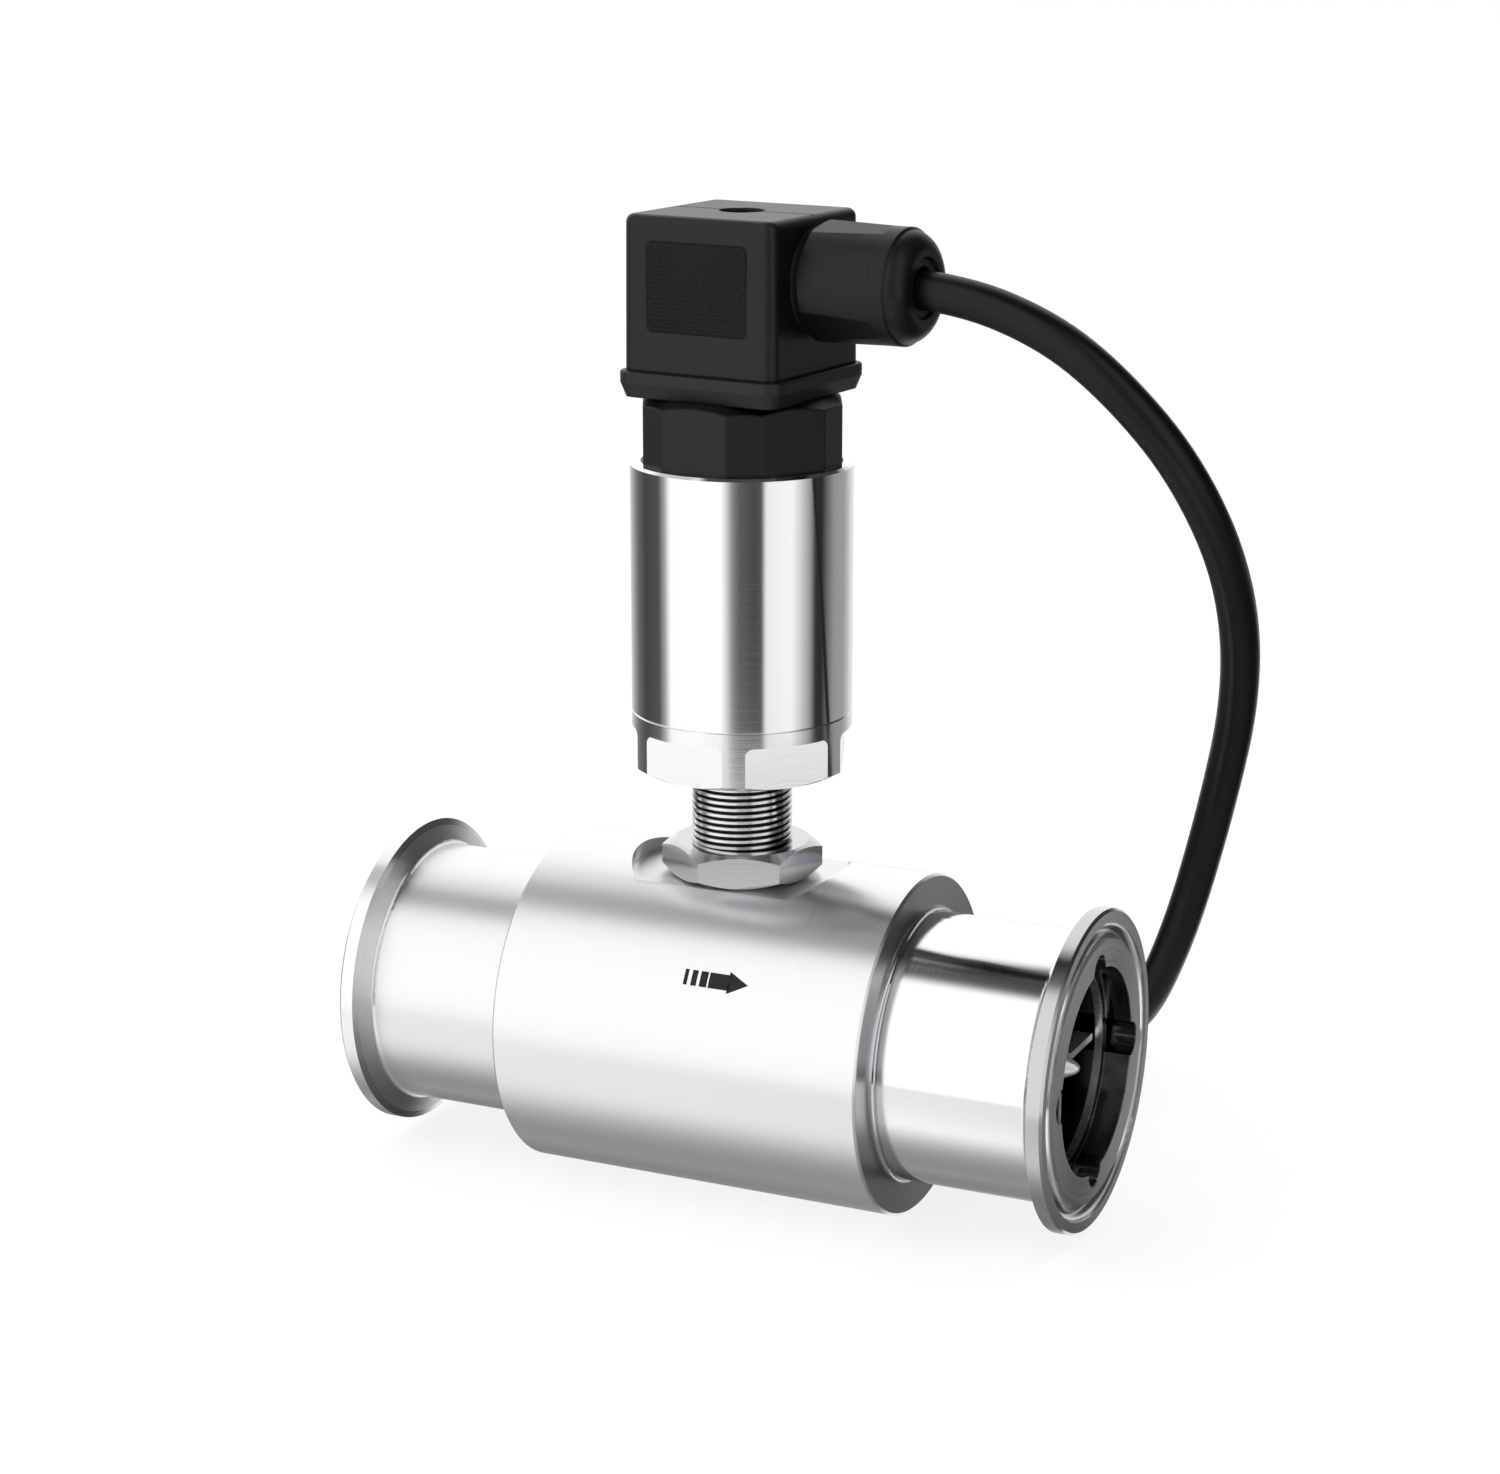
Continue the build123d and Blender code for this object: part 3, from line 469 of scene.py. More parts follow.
body_steel, tree, shader = new_material("turned_stainless_steel", "#EDEEEF", 1.0, 0.3)
total, along, from_axis = lathe_distance(tree, "X", body_centre)
_, above_axis, from_stem = lathe_distance(tree, "Z", body_centre)
off_middle = add(tree, "ShaderNodeMath", {0: along}, operation="ABSOLUTE").outputs[0]
grooves = groove_noise(tree, total, turning_pitch)
brushed, polished, ferrule_rough = (
    add(tree, "ShaderNodeMapRange", {"Value": grooves, "To Min": low, "To Max": high}).outputs[0]
    for low, high in ((0.25, 0.35), (0.08, 0.15), (0.15, 0.25))
)
past_drum = zone(tree, (along, outlet_neck[0], None))
on_ferrule = zone(tree, (off_middle, outlet_neck[1], None))
in_pocket = zone(tree, (from_stem, None, pocket_radius), (above_axis, pocket_floor, None))
on_wall = zone(tree, (above_axis, pocket_wall, None))
pocket_rough = add(tree, "ShaderNodeMix", {0: on_wall, 2: 0.4, 3: 0.16}).outputs[0]
rough = brushed
for place, other in (
    (past_drum, polished),
    (on_ferrule, ferrule_rough),
    (in_pocket, pocket_rough),
):
    rough = add(tree, "ShaderNodeMix", {0: place, 2: rough, 3: other}).outputs[0]
tree.links.new(rough, shader.inputs["Roughness"])
tilt(tree, shader, grooves, 0.000008, 0.22)
brush(tree, shader, flow_axis, body_centre, 0.7)
print("body finish: brushed drum and inlet neck, polished outlet neck, dull pocket floor")

# %% [markdown]
# The steel is one colour, and its zones are painted in darker greys: painted shade on the drum's
# end faces and on the outlet's rim, and more painted shade in the bore.

# %% Paint shade on the zones of the meter body
drum_end = (0.0309, 0.0322)
rim_edge = 0.0248
bore_edge = 0.0189
face_edge = 0.0598

drum_end_shade = zone(tree, (off_middle, *drum_end))
rim_shade = zone(tree, (along, outlet_neck[1], None), (from_axis, rim_edge, None))
bore_shade = zone(tree, (from_axis, None, bore_edge), (off_middle, None, face_edge))
# Painted shade: darker greys on the drum's ends, the outlet's rim and the bore.
paint(tree, shader, (drum_end_shade, "#C2C3C5"), (rim_shade, "#C4C5C6"), (bore_shade, "#77787A"))
dress(body_steel, "meter_body")
print("body colours: darker drum ends, outlet rim and bore")

# %% [markdown]
# The housing tube, the base under it and the locknut are turned about the upright axis, so the
# same two numbers are measured from there. The tube is polished until the studio shows in it as
# clean bands. The base has milled flats and is a little duller. Its stem is the root of a thread,
# and painted shade makes the stem darker. The nut is bright too, and its flats and its
# chamfer each mirror another side of the studio.

# %% Finish the tube, the base and the nut
upright_axis = (0.0, 0.0, 1.0)
root_radius = 0.00762
stem_top = 0.0421

housing_steel, tree, shader = new_material("polished_stainless_tube", "#EDEEEF", 1.0, 0.1)
total, _, _ = lathe_distance(tree, "Z", body_centre)
grooves = groove_noise(tree, total, turning_pitch)
uneven(tree, shader, grooves, 0.06, 0.12)
tilt(tree, shader, grooves, 0.000006, 0.2)
brush(tree, shader, upright_axis, body_centre, 0.25)
dress(housing_steel, "housing_tube")

base_steel, tree, shader = new_material("milled_stainless_base", "#EBECED", 1.0, 0.16)
total, along, from_axis = lathe_distance(tree, "Z", body_centre)
grooves = groove_noise(tree, total, turning_pitch)
uneven(tree, shader, grooves, 0.1, 0.18)
tilt(tree, shader, grooves, 0.000006, 0.2)
# Painted shade: the stem below the thread is dark.
stem_shade = zone(tree, (from_axis, None, root_radius), (along, None, stem_top))
paint(tree, shader, (stem_shade, "#2C2C2D"))
dress(base_steel, "pickup_body")

nut_steel, tree, shader = new_material("machined_stainless_nut", "#C6C7C8", 1.0, 0.2)
total, _, _ = lathe_distance(tree, "Z", body_centre)
grooves = groove_noise(tree, total, turning_pitch)
uneven(tree, shader, grooves, 0.1, 0.18)
tilt(tree, shader, grooves, 0.000008, 0.2)
dress(nut_steel, "locknut")
print("turned finishes: tube, base and nut")

# %% [markdown]
# ## Steel parts in the bore
#
# The straighteners are investment castings, whose ceramic mould leaves a fine, even grain. The
# rotor is machined from magnetic stainless steel, the shaft and the bushes are ground carbide,
# and the snap rings are stamped from spring steel. They sit in the dark of the bore, so each one
# gets its own grey and its own grain. The vanes' dark grey is painted shade, their nose has a
# painted highlight, and the keyed tips in their keyways are painted nearly black as shade.

# %% Cast the straighteners
keyed_tip = 0.0146
nose_span = (0.0485, 0.0515)


def grain(tree, size, detail=3.0):
    """Three-dimensional noise whose grains are about a size in metres."""
    place = add(tree, "ShaderNodeTexCoord").outputs["Object"]
    noise = add(
        tree,
        "ShaderNodeTexNoise",
        {"Vector": place, "Scale": 1.0 / size, "Detail": detail, "Roughness": 0.55},
    )
    return noise.outputs["Fac"]


# The vane's dark grey is painted shade from the bore.
vane_steel, tree, shader = new_material("cast_stainless_vane", "#343537", 1.0, 0.4)
sand = grain(tree, 0.0006)
uneven(tree, shader, sand, 0.32, 0.5)
tilt(tree, shader, sand, 0.00004, 0.35)
_, along, from_axis = lathe_distance(tree, "X", body_centre)
off_middle = add(tree, "ShaderNodeMath", {0: along}, operation="ABSOLUTE").outputs[0]
nose_highlight = add(
    tree,
    "ShaderNodeMapRange",
    {"Value": off_middle, "From Min": nose_span[0], "From Max": nose_span[1]},
)
# Painted highlight on the nose, and painted shade on the keyed tips.
tip_shade = zone(tree, (from_axis, keyed_tip, None))
paint(tree, shader, (nose_highlight.outputs[0], "#F4F5F6"), (tip_shade, "#0E0E0F"))
dress(vane_steel, "inlet_straightener", "outlet_straightener")
print("cast vanes: bright nose, grey grain of 0.6 mm")

# %% Finish the rotor, its shaft and the rings
ring_highlight_edge = 0.01555

# Milled blades: a soft grey shine with fine marks.
rotor_steel, tree, shader = new_material("machined_magnetic_stainless", "#A3A5A8", 1.0, 0.26)
marks = grain(tree, 0.0005)
uneven(tree, shader, marks, 0.2, 0.34)
tilt(tree, shader, marks, 0.00001, 0.2)
dress(rotor_steel, "rotor")

# Ground carbide: darker than steel and nearly a mirror.
carbide, tree, shader = new_material("ground_tungsten_carbide", "#7E8084", 1.0, 0.14)
uneven(tree, shader, grain(tree, 0.0003), 0.1, 0.2)
dress(carbide, "rotor_shaft", "inlet_bush", "outlet_bush")

# Spring steel: faces darkened as painted shade, and a painted highlight along the inner edge.
ring_steel, tree, shader = new_material("stamped_spring_steel", "#48494C", 1.0, 0.28)
marks = grain(tree, 0.0008)
uneven(tree, shader, marks, 0.2, 0.38)
tilt(tree, shader, marks, 0.00002, 0.2)
_, _, from_axis = lathe_distance(tree, "X", body_centre)
paint(tree, shader, (zone(tree, (from_axis, None, ring_highlight_edge)), "#E8E9EA"))
dress(ring_steel, "inlet_snap_ring", "outlet_snap_ring")
print("rotor, carbide and ring finishes are on")

# %% [markdown]
# ## Black plastics
#
# The plug, its base and the gland are glass-filled polyamide from steel moulds. A spark-eroded
# mould leaves a fine matte grain, and the moulded edges are a little round, so they catch a thin
# line of light. Rounding every edge of the mesh would add thousands of faces, and the Bevel node
# bends the normals near an edge by the same radius instead.

# %% Make a moulded finish
mould_play = 0.07
mould_strength = 0.5


def moulded(name, colour, roughness, specular, grain_size, grain_depth, edge_radius):
    """A moulded surface with a fine grain and softened edges. Its last three are in metres."""
    material, tree, shader = new_material(name, colour, 0.0, roughness, specular)
    speck = grain(tree, grain_size, 2.0)
    uneven(tree, shader, speck, roughness - mould_play, roughness + mould_play)
    bump = tilt(tree, shader, speck, grain_depth, mould_strength)
    soft_edge = add(tree, "ShaderNodeBevel", {"Radius": edge_radius}, samples=4)
    tree.links.new(soft_edge.outputs[0], bump.inputs["Normal"])
    return material


# Matte and nearly black, with a thin line of light along the edges.
black_polyamide = moulded(
    "moulded_black_polyamide", "#09090A", 0.38, 0.35, 0.00045, 0.00002, 0.0006
)
# The same plastic from a smoother mould: deeper black and crisper edges.
gland_polyamide = moulded(
    "moulded_gland_polyamide", "#060606", 0.4, 0.33, 0.0006, 0.00001, 0.0002
)
# Rubber: softer and greyer than the plastic beside it.
black_rubber = moulded("moulded_nitrile_rubber", "#0B0B0C", 0.48, 0.45, 0.0008, 0.00002, 0.0004)
# The coil's bobbin: a warm, milky white.
bobbin_plastic = moulded(
    "moulded_bobbin_polyester", "#D8D2C2", 0.45, 0.5, 0.0008, 0.00001, 0.0002
)
dress(black_polyamide, "plug_housing", "connector_base", "terminal_insert")
dress(gland_polyamide, "gland_nut", "gland_washer")
dress(black_rubber, "flange_gasket", "gland_seal", "housing_seal", "connector_seal")
dress(bobbin_plastic, "coil_bobbin")
print("moulded finishes: polyamide, gland, rubber, bobbin")

# %% [markdown]
# The cable's jacket is extruded PVC. It comes smooth out of the die, with a faint unevenness
# every few millimetres, and it shines more than the plug. The cores have the colours that a
# three-core lead has, and the tie round the coil is black nylon, a little greyer than the jacket.

# %% Finish the cable, its cores and the tie
core_colours = {"core_brown": "#5A3420", "core_blue": "#1F55A5", "core_black": "#18181A"}

jacket = moulded("extruded_black_pvc", "#050506", 0.34, 0.27, 0.004, 0.00003, 0.0002)
cable_piece.data.materials.append(jacket)
tie_nylon = moulded("black_nylon_tie", "#1A1A1B", 0.38, 0.5, 0.0009, 0.00001, 0.0002)
dress(tie_nylon, "coil_tie")
for core in cores:
    shade = core_colours[core.name]
    insulation = moulded("pvc_" + core.name, shade, 0.4, 0.5, 0.002, 0.00001, 0.0001)
    core.data.materials.append(insulation)

# Tinned copper: a warm grey, dulled where the crimping tool pressed it.
tinned, tree, shader = new_material("tinned_copper_sleeve", "#C9C8C4", 1.0, 0.3)
marks = grain(tree, 0.0004)
uneven(tree, shader, marks, 0.24, 0.42)
tilt(tree, shader, marks, 0.00002, 0.3)
for sleeve in sleeves:
    sleeve.data.materials.append(tinned)
print("cable finishes:", jacket.name, tie_nylon.name, tinned.name)

# %% [markdown]
# ## Parts inside the housing
#
# Nothing of the coil and the board shows while the meter is closed, but someone who opens it in
# the model should find the real materials: copper wire wound in layers, a ferrite-grey magnet, a
# green board with its tracks, epoxy chips, an aluminium can and a blue trimmer.

# %% Finish the coil, the pin and the magnet
wire_pitch = 0.0004  # finer than 0.1 mm in the real one, drawn coarser so that it shows

# Enamelled wire: a red-brown shine that breaks into a ridge for each turn.
copper, tree, shader = new_material("enamelled_copper_wire", "#B5632F", 1.0, 0.3)
_, along, _ = lathe_distance(tree, "Z", body_centre)
wave = {0: along, 1: 2 * math.pi / wire_pitch}
wire = add(tree, "ShaderNodeMath", wave, operation="MULTIPLY")
ridges = add(tree, "ShaderNodeMath", {0: wire.outputs[0]}, operation="SINE")
tilt(tree, shader, ridges.outputs[0], 0.00004, 0.6)
dress(copper, "coil_winding")

# Turned soft iron: a dull, even grey.
iron, tree, shader = new_material("soft_iron_pin", "#87878A", 1.0, 0.35)
uneven(tree, shader, grain(tree, 0.0005), 0.28, 0.44)
dress(iron, "pole_pin")

# Sintered ferrite: dark and stony.
ferrite, tree, shader = new_material("sintered_magnet", "#4C4D52", 0.9, 0.5)
uneven(tree, shader, grain(tree, 0.0004), 0.42, 0.6)
dress(ferrite, "bias_magnet")
print("coil finishes are on")

# %% Finish the board and its parts
pads_per_metre = 520.0  # a pad is about 2 mm long, and a brick of the texture is half a unit

# Solder mask: a satin green, paler where a track runs under it.
board_green, tree, shader = new_material("solder_masked_board", "#1E5B34", 0.0, 0.35)
tracks = add(
    tree,
    "ShaderNodeTexBrick",
    {
        "Vector": add(tree, "ShaderNodeTexCoord").outputs["Object"],
        "Scale": pads_per_metre / 2,
        "Mortar Size": 0.06,
        "Color1": linear("#1E5B34"),
        "Color2": linear("#236A3C"),
        "Mortar": linear("#3C8A55"),
    },
)
tree.links.new(tracks.outputs["Color"], shader.inputs["Base Color"])
dress(board_green, "amplifier_board")

# Moulded epoxy: matte charcoal.
chip_epoxy = moulded("moulded_chip_epoxy", "#1C1C1E", 0.55, 0.4, 0.0004, 0.00001, 0.0001)
dress(chip_epoxy, "board_chips")

# Drawn aluminium: pale, with a silky shine.
can, tree, shader = new_material("drawn_aluminium_can", "#C8CACC", 1.0, 0.25)
uneven(tree, shader, grain(tree, 0.0006), 0.2, 0.32)
dress(can, "filter_capacitor")

# Moulded polyester in the blue that trimmers have.
trimmer_blue = moulded("moulded_trimmer_plastic", "#1F5FB0", 0.4, 0.5, 0.0005, 0.00001, 0.0001)
dress(trimmer_blue, "gain_trimmer")
print("board finishes are on")

# %% Finish the contacts and the screws
# Tinned brass: a pale yellow metal with a soft shine.
brass, tree, shader = new_material("tinned_brass_contact", "#D3C9A8", 1.0, 0.25)
uneven(tree, shader, grain(tree, 0.0005), 0.18, 0.34)
dress(brass, "contact_blades")

# Zinc plate: a bluish silver, a little cloudy.
zinc_steel, tree, shader = new_material("zinc_plated_screw", "#B9BBBE", 1.0, 0.3)
marks = grain(tree, 0.0004)
uneven(tree, shader, marks, 0.22, 0.4)
tilt(tree, shader, marks, 0.00001, 0.2)
dress(zinc_steel, "fixing_screw", "screw_washer", "terminal_screws")
print("contact and screw finishes are on")

# %% [markdown]
# ## Thread of the stem
#
# The stem is screwed into the body and locked by the nut, and the thread shows between the nut
# and the base. Its pitch is about a millimetre. The CAD stem is drawn at the root of the thread,
# so a ridge is wound round it: the section of one tooth is drawn as a flat plate beside the
# stem, its outer edge is made narrower for the sloping flanks, and the Screw modifier turns it
# round the axis while it climbs.

# %% Draw one tooth beside the axis
stem_radius = 0.0075
crest_radius = 0.00793
tooth_root = 0.0001
thread_pitch = 0.00103
thread_start = 0.0291
thread_turns = 12
root_share = 0.96
crest_share = 0.42


def narrow_end(piece, limit, scale):
    """Scales the part of a flat plate that lies past a limit along X."""
    bpy.ops.object.mode_set(mode="EDIT")
    bpy.ops.mesh.select_mode(type="VERT")
    bpy.ops.mesh.select_all(action="DESELECT")
    bpy.ops.object.mode_set(mode="OBJECT")
    for vertex in piece.data.vertices:
        vertex.select = vertex.co.x > limit
    bpy.ops.object.mode_set(mode="EDIT")
    bpy.ops.transform.resize(value=scale)
    bpy.ops.object.mode_set(mode="OBJECT")


clear_selection()
bpy.ops.mesh.primitive_plane_add(size=1.0, rotation=(math.radians(90), 0.0, 0.0))
thread = bpy.context.object
thread.name = "stem_thread"
tooth_depth = crest_radius - stem_radius + tooth_root
tooth_middle = crest_radius - tooth_depth / 2
thread.scale = (tooth_depth, thread_pitch * root_share, 1.0)
thread.location = (tooth_middle, 0.0, thread_start + thread_pitch / 2)
settle(thread)
narrow_end(thread, tooth_middle, (1.0, 1.0, crest_share))
print("tooth points:", len(thread.data.vertices))

# %% Wind the tooth round the stem
same_point = 0.000001

screw = thread.modifiers.new("screw", "SCREW")
screw.axis = "Z"
screw.angle = 2 * math.pi
screw.steps = 64
screw.render_steps = 64
screw.screw_offset = thread_pitch
screw.iterations = thread_turns
bpy.ops.object.modifier_apply(modifier="screw")
bpy.ops.object.mode_set(mode="EDIT")
bpy.ops.mesh.select_all(action="SELECT")
bpy.ops.mesh.remove_doubles(threshold=same_point)
bpy.ops.mesh.fill_holes(sides=4)
bpy.ops.mesh.select_all(action="SELECT")
bpy.ops.mesh.normals_make_consistent(inside=False)
bpy.ops.object.mode_set(mode="OBJECT")
thread.location = body_centre
settle(thread)
bpy.ops.object.shade_smooth_by_angle(angle=math.radians(30))
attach(thread, "meter")
print("thread faces:", len(thread.data.polygons))

# %% [markdown]
# A cut thread is drawn steel-bright on its crests and dark in its roots, where the dark is
# painted shade. The distance from the axis tells the two apart.

# %% Finish the thread
dark_below = 0.00762
bright_above = 0.0079

# Painted shade: the thread's own colour is dark, and only the crests get the steel's grey.
thread_steel, tree, shader = new_material("cut_stainless_thread", "#1E1E1F", 1.0, 0.15)
_, _, from_axis = lathe_distance(tree, "Z", body_centre)
worn = add(
    tree,
    "ShaderNodeMapRange",
    {"Value": from_axis, "From Min": dark_below, "From Max": bright_above},
)
paint(tree, shader, (worn.outputs[0], "#E4E5E6"))
uneven(tree, shader, grain(tree, 0.0006), 0.1, 0.2)
thread.data.materials.append(thread_steel)
print("thread finish:", thread_steel.name)

# %% [markdown]
# ## Flow mark
#
# A laser has burnt an arrow into the drum to say which way the liquid runs: three bars, each
# wider than the one before, then a shaft and a head. It is drawn flat, as a stencil would be, and
# the Shrinkwrap modifier lays it on the round of the drum. A thin wall keeps it a closed piece.

# %% Cut the arrow out flat
mark_start = 0.0609
bar_height = 0.0025
bars = [(0.0, 0.00062), (0.00125, 0.00218), (0.00268, 0.00393), (0.00418, 0.0078)]
head_height = 0.0036
head_span = (0.0074, 0.0107)
tip_share = 0.02

mark_pieces = []
for start, end, height in [*((*bar, bar_height) for bar in bars), (*head_span, head_height)]:
    clear_selection()
    bpy.ops.mesh.primitive_plane_add(size=1.0)
    flat = bpy.context.object
    flat.scale = (end - start, height, 1.0)
    flat.location = (mark_start + (start + end) / 2, 0.0, 0.0)
    settle(flat)
    mark_pieces.append(flat)
narrow_end(mark_pieces[-1], mark_start + sum(head_span) / 2, (1.0, tip_share, 1.0))
print("mark pieces:", len(mark_pieces))

# %% Lay the arrow on the drum
mark_angle = math.radians(31.5)
mark_distance = 0.0275
mark_gap = 0.00002
mark_thickness = 0.000015

clear_selection()
for flat in mark_pieces:
    flat.select_set(True)
bpy.context.view_layer.objects.active = mark_pieces[0]
bpy.ops.object.join()
flow_mark = bpy.context.object
flow_mark.name = "flow_mark"
bpy.ops.object.mode_set(mode="EDIT")
bpy.ops.mesh.select_all(action="SELECT")
bpy.ops.mesh.subdivide(number_cuts=5)
bpy.ops.object.mode_set(mode="OBJECT")
outward = Vector((0.0, -math.cos(mark_angle), math.sin(mark_angle)))
flow_mark.rotation_euler = (math.radians(90) - mark_angle, 0.0, 0.0)
flow_mark.location = outward * mark_distance
settle(flow_mark)
wrap = flow_mark.modifiers.new("wrap", "SHRINKWRAP")
wrap.target = nodes["meter_body"]
wrap.wrap_method = "NEAREST_SURFACEPOINT"
wrap.wrap_mode = "ABOVE_SURFACE"
wrap.offset = mark_gap
bpy.ops.object.modifier_apply(modifier="wrap")
wall = flow_mark.modifiers.new("wall", "SOLIDIFY")
wall.thickness = mark_thickness
wall.offset = -1.0
bpy.ops.object.modifier_apply(modifier="wall")
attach(flow_mark, "meter")
print("flow mark faces:", len(flow_mark.data.polygons))

# %% Finish the mark
# Burnt steel: a flat, sooty black that keeps a trace of the metal's shine.
burnt, tree, shader = new_material("laser_burnt_steel", "#161617", 0.3, 0.55)
uneven(tree, shader, grain(tree, 0.0003), 0.45, 0.65)
flow_mark.data.materials.append(burnt)
print("mark finish:", burnt.name)

# %% [markdown]
# ## Seal in the gland's mouth
#
# Where the cable leaves the gland, the rubber seal swells out round it as the nut is tightened and
# almost fills the mouth. It is a short tube round the cable: a cylinder without ends, with a wall
# from the Solidify modifier and a rounded rim from the Bevel modifier, laid along the gland.

# %% Model the seal's collar
plug_turn = math.radians(-6.3)
gland_height = 0.1188
mouth_radius = 0.0046
collar_reach = (0.0298, 0.0311)
collar_play = 0.00003
rim_width = 0.0004

clear_selection()
bpy.ops.mesh.primitive_cylinder_add(
    vertices=64,
    radius=mouth_radius,
    depth=collar_reach[1] - collar_reach[0],
    end_fill_type="NOTHING",
    rotation=(0.0, math.radians(90), 0.0),
)
collar = bpy.context.object
collar.name = "seal_collar"
settle(collar)
wall = collar.modifiers.new("wall", "SOLIDIFY")
wall.thickness = mouth_radius - cable_radius - collar_play
wall.offset = -1.0
bpy.ops.object.modifier_apply(modifier="wall")
rim = collar.modifiers.new("rim", "BEVEL")
rim.width = rim_width
rim.segments = 4
rim.limit_method = "ANGLE"
rim.angle_limit = math.radians(60)
bpy.ops.object.modifier_apply(modifier="rim")
collar.location = (sum(collar_reach) / 2, 0.0, gland_height)
settle(collar)
collar.rotation_euler = (0.0, 0.0, plug_turn)
collar.location = body_centre
settle(collar)
bpy.ops.object.shade_smooth_by_angle(angle=math.radians(35))
collar.data.materials.append(black_rubber)
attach(collar, "meter")
print("collar faces:", len(collar.data.polygons))

# %% [markdown]
# ## Panel on the plug
#
# The plug's front has a shallow recess with a coarser grain than the plug itself. The grain is on
# a thin plate that lies on the recess's floor: a cube made flat, with its four upright corners
# rounded and its front edge broken. The grain itself is in its finish.

# %% Model the panel plate
panel_width = 0.01726
panel_height = 0.01336
panel_thick = 0.00036
panel_front = -0.01321
panel_level = 0.1179
panel_corner = 0.0007
panel_break = 0.00012
panel_rise = 0.00006

clear_selection()
bpy.ops.mesh.primitive_cube_add(size=1.0)
panel = bpy.context.object
panel.name = "plug_panel"
panel.scale = (panel_width, panel_thick, panel_height)
settle(panel)
bpy.ops.object.mode_set(mode="EDIT")
bpy.ops.mesh.select_mode(type="EDGE")
bpy.ops.mesh.select_all(action="DESELECT")
bpy.ops.object.mode_set(mode="OBJECT")
for edge in panel.data.edges:
    a, b = (panel.data.vertices[i].co for i in edge.vertices)
    edge.select = abs(a.y - b.y) > panel_thick / 2
bpy.ops.object.mode_set(mode="EDIT")
bpy.ops.mesh.bevel(offset=panel_corner, segments=5)
pick_faces(panel, lambda normal: normal.y < -0.9)
bpy.ops.mesh.inset(thickness=panel_break)
bpy.ops.transform.translate(value=(0.0, -panel_rise, 0.0))
bpy.ops.object.mode_set(mode="OBJECT")
panel.location = (0.0, panel_front + panel_thick / 2, panel_level)
settle(panel)
panel.rotation_euler = (0.0, 0.0, plug_turn)
panel.location = body_centre
settle(panel)
bpy.ops.object.shade_smooth_by_angle(angle=math.radians(30))
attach(panel, "meter")
print("panel faces:", len(panel.data.polygons))

# %% Finish the panel
dot_pitch = 0.0006

# A coarse spark-eroded mould: matte black, with dots that each catch a speck of light.
panel_grain, tree, shader = new_material("spark_eroded_polyamide", "#030304", 0.0, 0.55, 0.28)
place = add(tree, "ShaderNodeTexCoord").outputs["Object"]
dots = add(
    tree,
    "ShaderNodeTexVoronoi",
    {"Vector": place, "Scale": 1.0 / dot_pitch, "Randomness": 0.45},
).outputs["Distance"]
uneven(tree, shader, dots, 0.42, 0.7)
tilt(tree, shader, dots, 0.00025, 0.9)
panel.data.materials.append(panel_grain)
print("panel finish:", panel_grain.name, "dots", 1000 * dot_pitch, "mm apart")

# %% [markdown]
# ## Studio
#
# Polished steel has no look of its own: it shows the room. The room here is the one that a
# photographer builds for bright metal, with tall white panels left and right, black flags between
# them that draw the dark lines along the steel, and a white wall behind. It is painted on the
# world, which needs no lamps in view, and only mirrored rays see it. Three rings of panels stand
# one above the other: what a surface mirrors when it looks down at the table, level, or up. Each
# ring lists its panels by their compass direction. Under the table ring the floor is grey, and
# above the overhead ring the ceiling is dark.

# %% List the panels by their angle to the right of the camera
facing = -65.2  # where the camera stands, in degrees round the meter from +X
eye_level = [
    (-180.0, 0.80),
    (-151.0, 0.35),
    (-135.0, 0.13),
    (-118.0, 0.05),
    (-95.0, 0.07),
    (-86.0, 0.36),
    (-79.0, 0.95),
    (-22.0, 1.0),
    (-16.0, 0.62),
    (-10.0, 0.22),
    (-3.0, 0.09),
    (12.0, 0.05),
    (20.0, 0.07),
    (25.0, 0.80),
    (52.0, 0.90),
    (66.0, 0.50),
    (74.0, 0.30),
    (81.0, 0.03),
    (90.0, 0.02),
    (98.0, 0.12),
    (110.0, 0.27),
    (133.0, 0.32),
    (150.0, 0.62),
]
overhead = [
    (-180.0, 1.0),
    (-131.0, 0.95),
    (-122.0, 0.55),
    (-97.0, 0.50),
    (-86.0, 0.85),
    (-79.0, 1.0),
    (-20.0, 1.0),
    (-6.0, 0.35),
    (19.0, 0.35),
    (26.0, 1.0),
    (52.0, 0.90),
    (66.0, 0.25),
    (85.0, 0.04),
    (135.0, 0.04),
    (150.0, 0.8),
]
table = [
    (-180.0, 0.22),
    (-165.0, 0.18),
    (-147.0, 0.32),
    (-126.0, 0.20),
    (-105.0, 0.36),
    (-87.0, 0.62),
    (-57.0, 0.93),
    (-42.0, 0.70),
    (-24.0, 0.30),
    (-15.0, 0.95),
    (12.0, 0.95),
    (24.0, 0.50),
    (60.0, 0.20),
    (90.0, 0.08),
    (114.0, 0.04),
    (139.0, 0.02),
    (146.0, 1.00),
    (168.0, 0.80),
]
print("panels:", len(eye_level), "at eye level,", len(overhead), "overhead,", len(table), "below")


# %% Paint a ring of panels
def grey(level):
    """A grey of a brightness from 0 to 1."""
    return (level, level, level, 1.0)


def compass_share(angle):
    """Where an angle to the right of the camera falls on a ramp from 0 to 1."""
    return ((facing + angle + 180.0) % 360.0) / 360.0


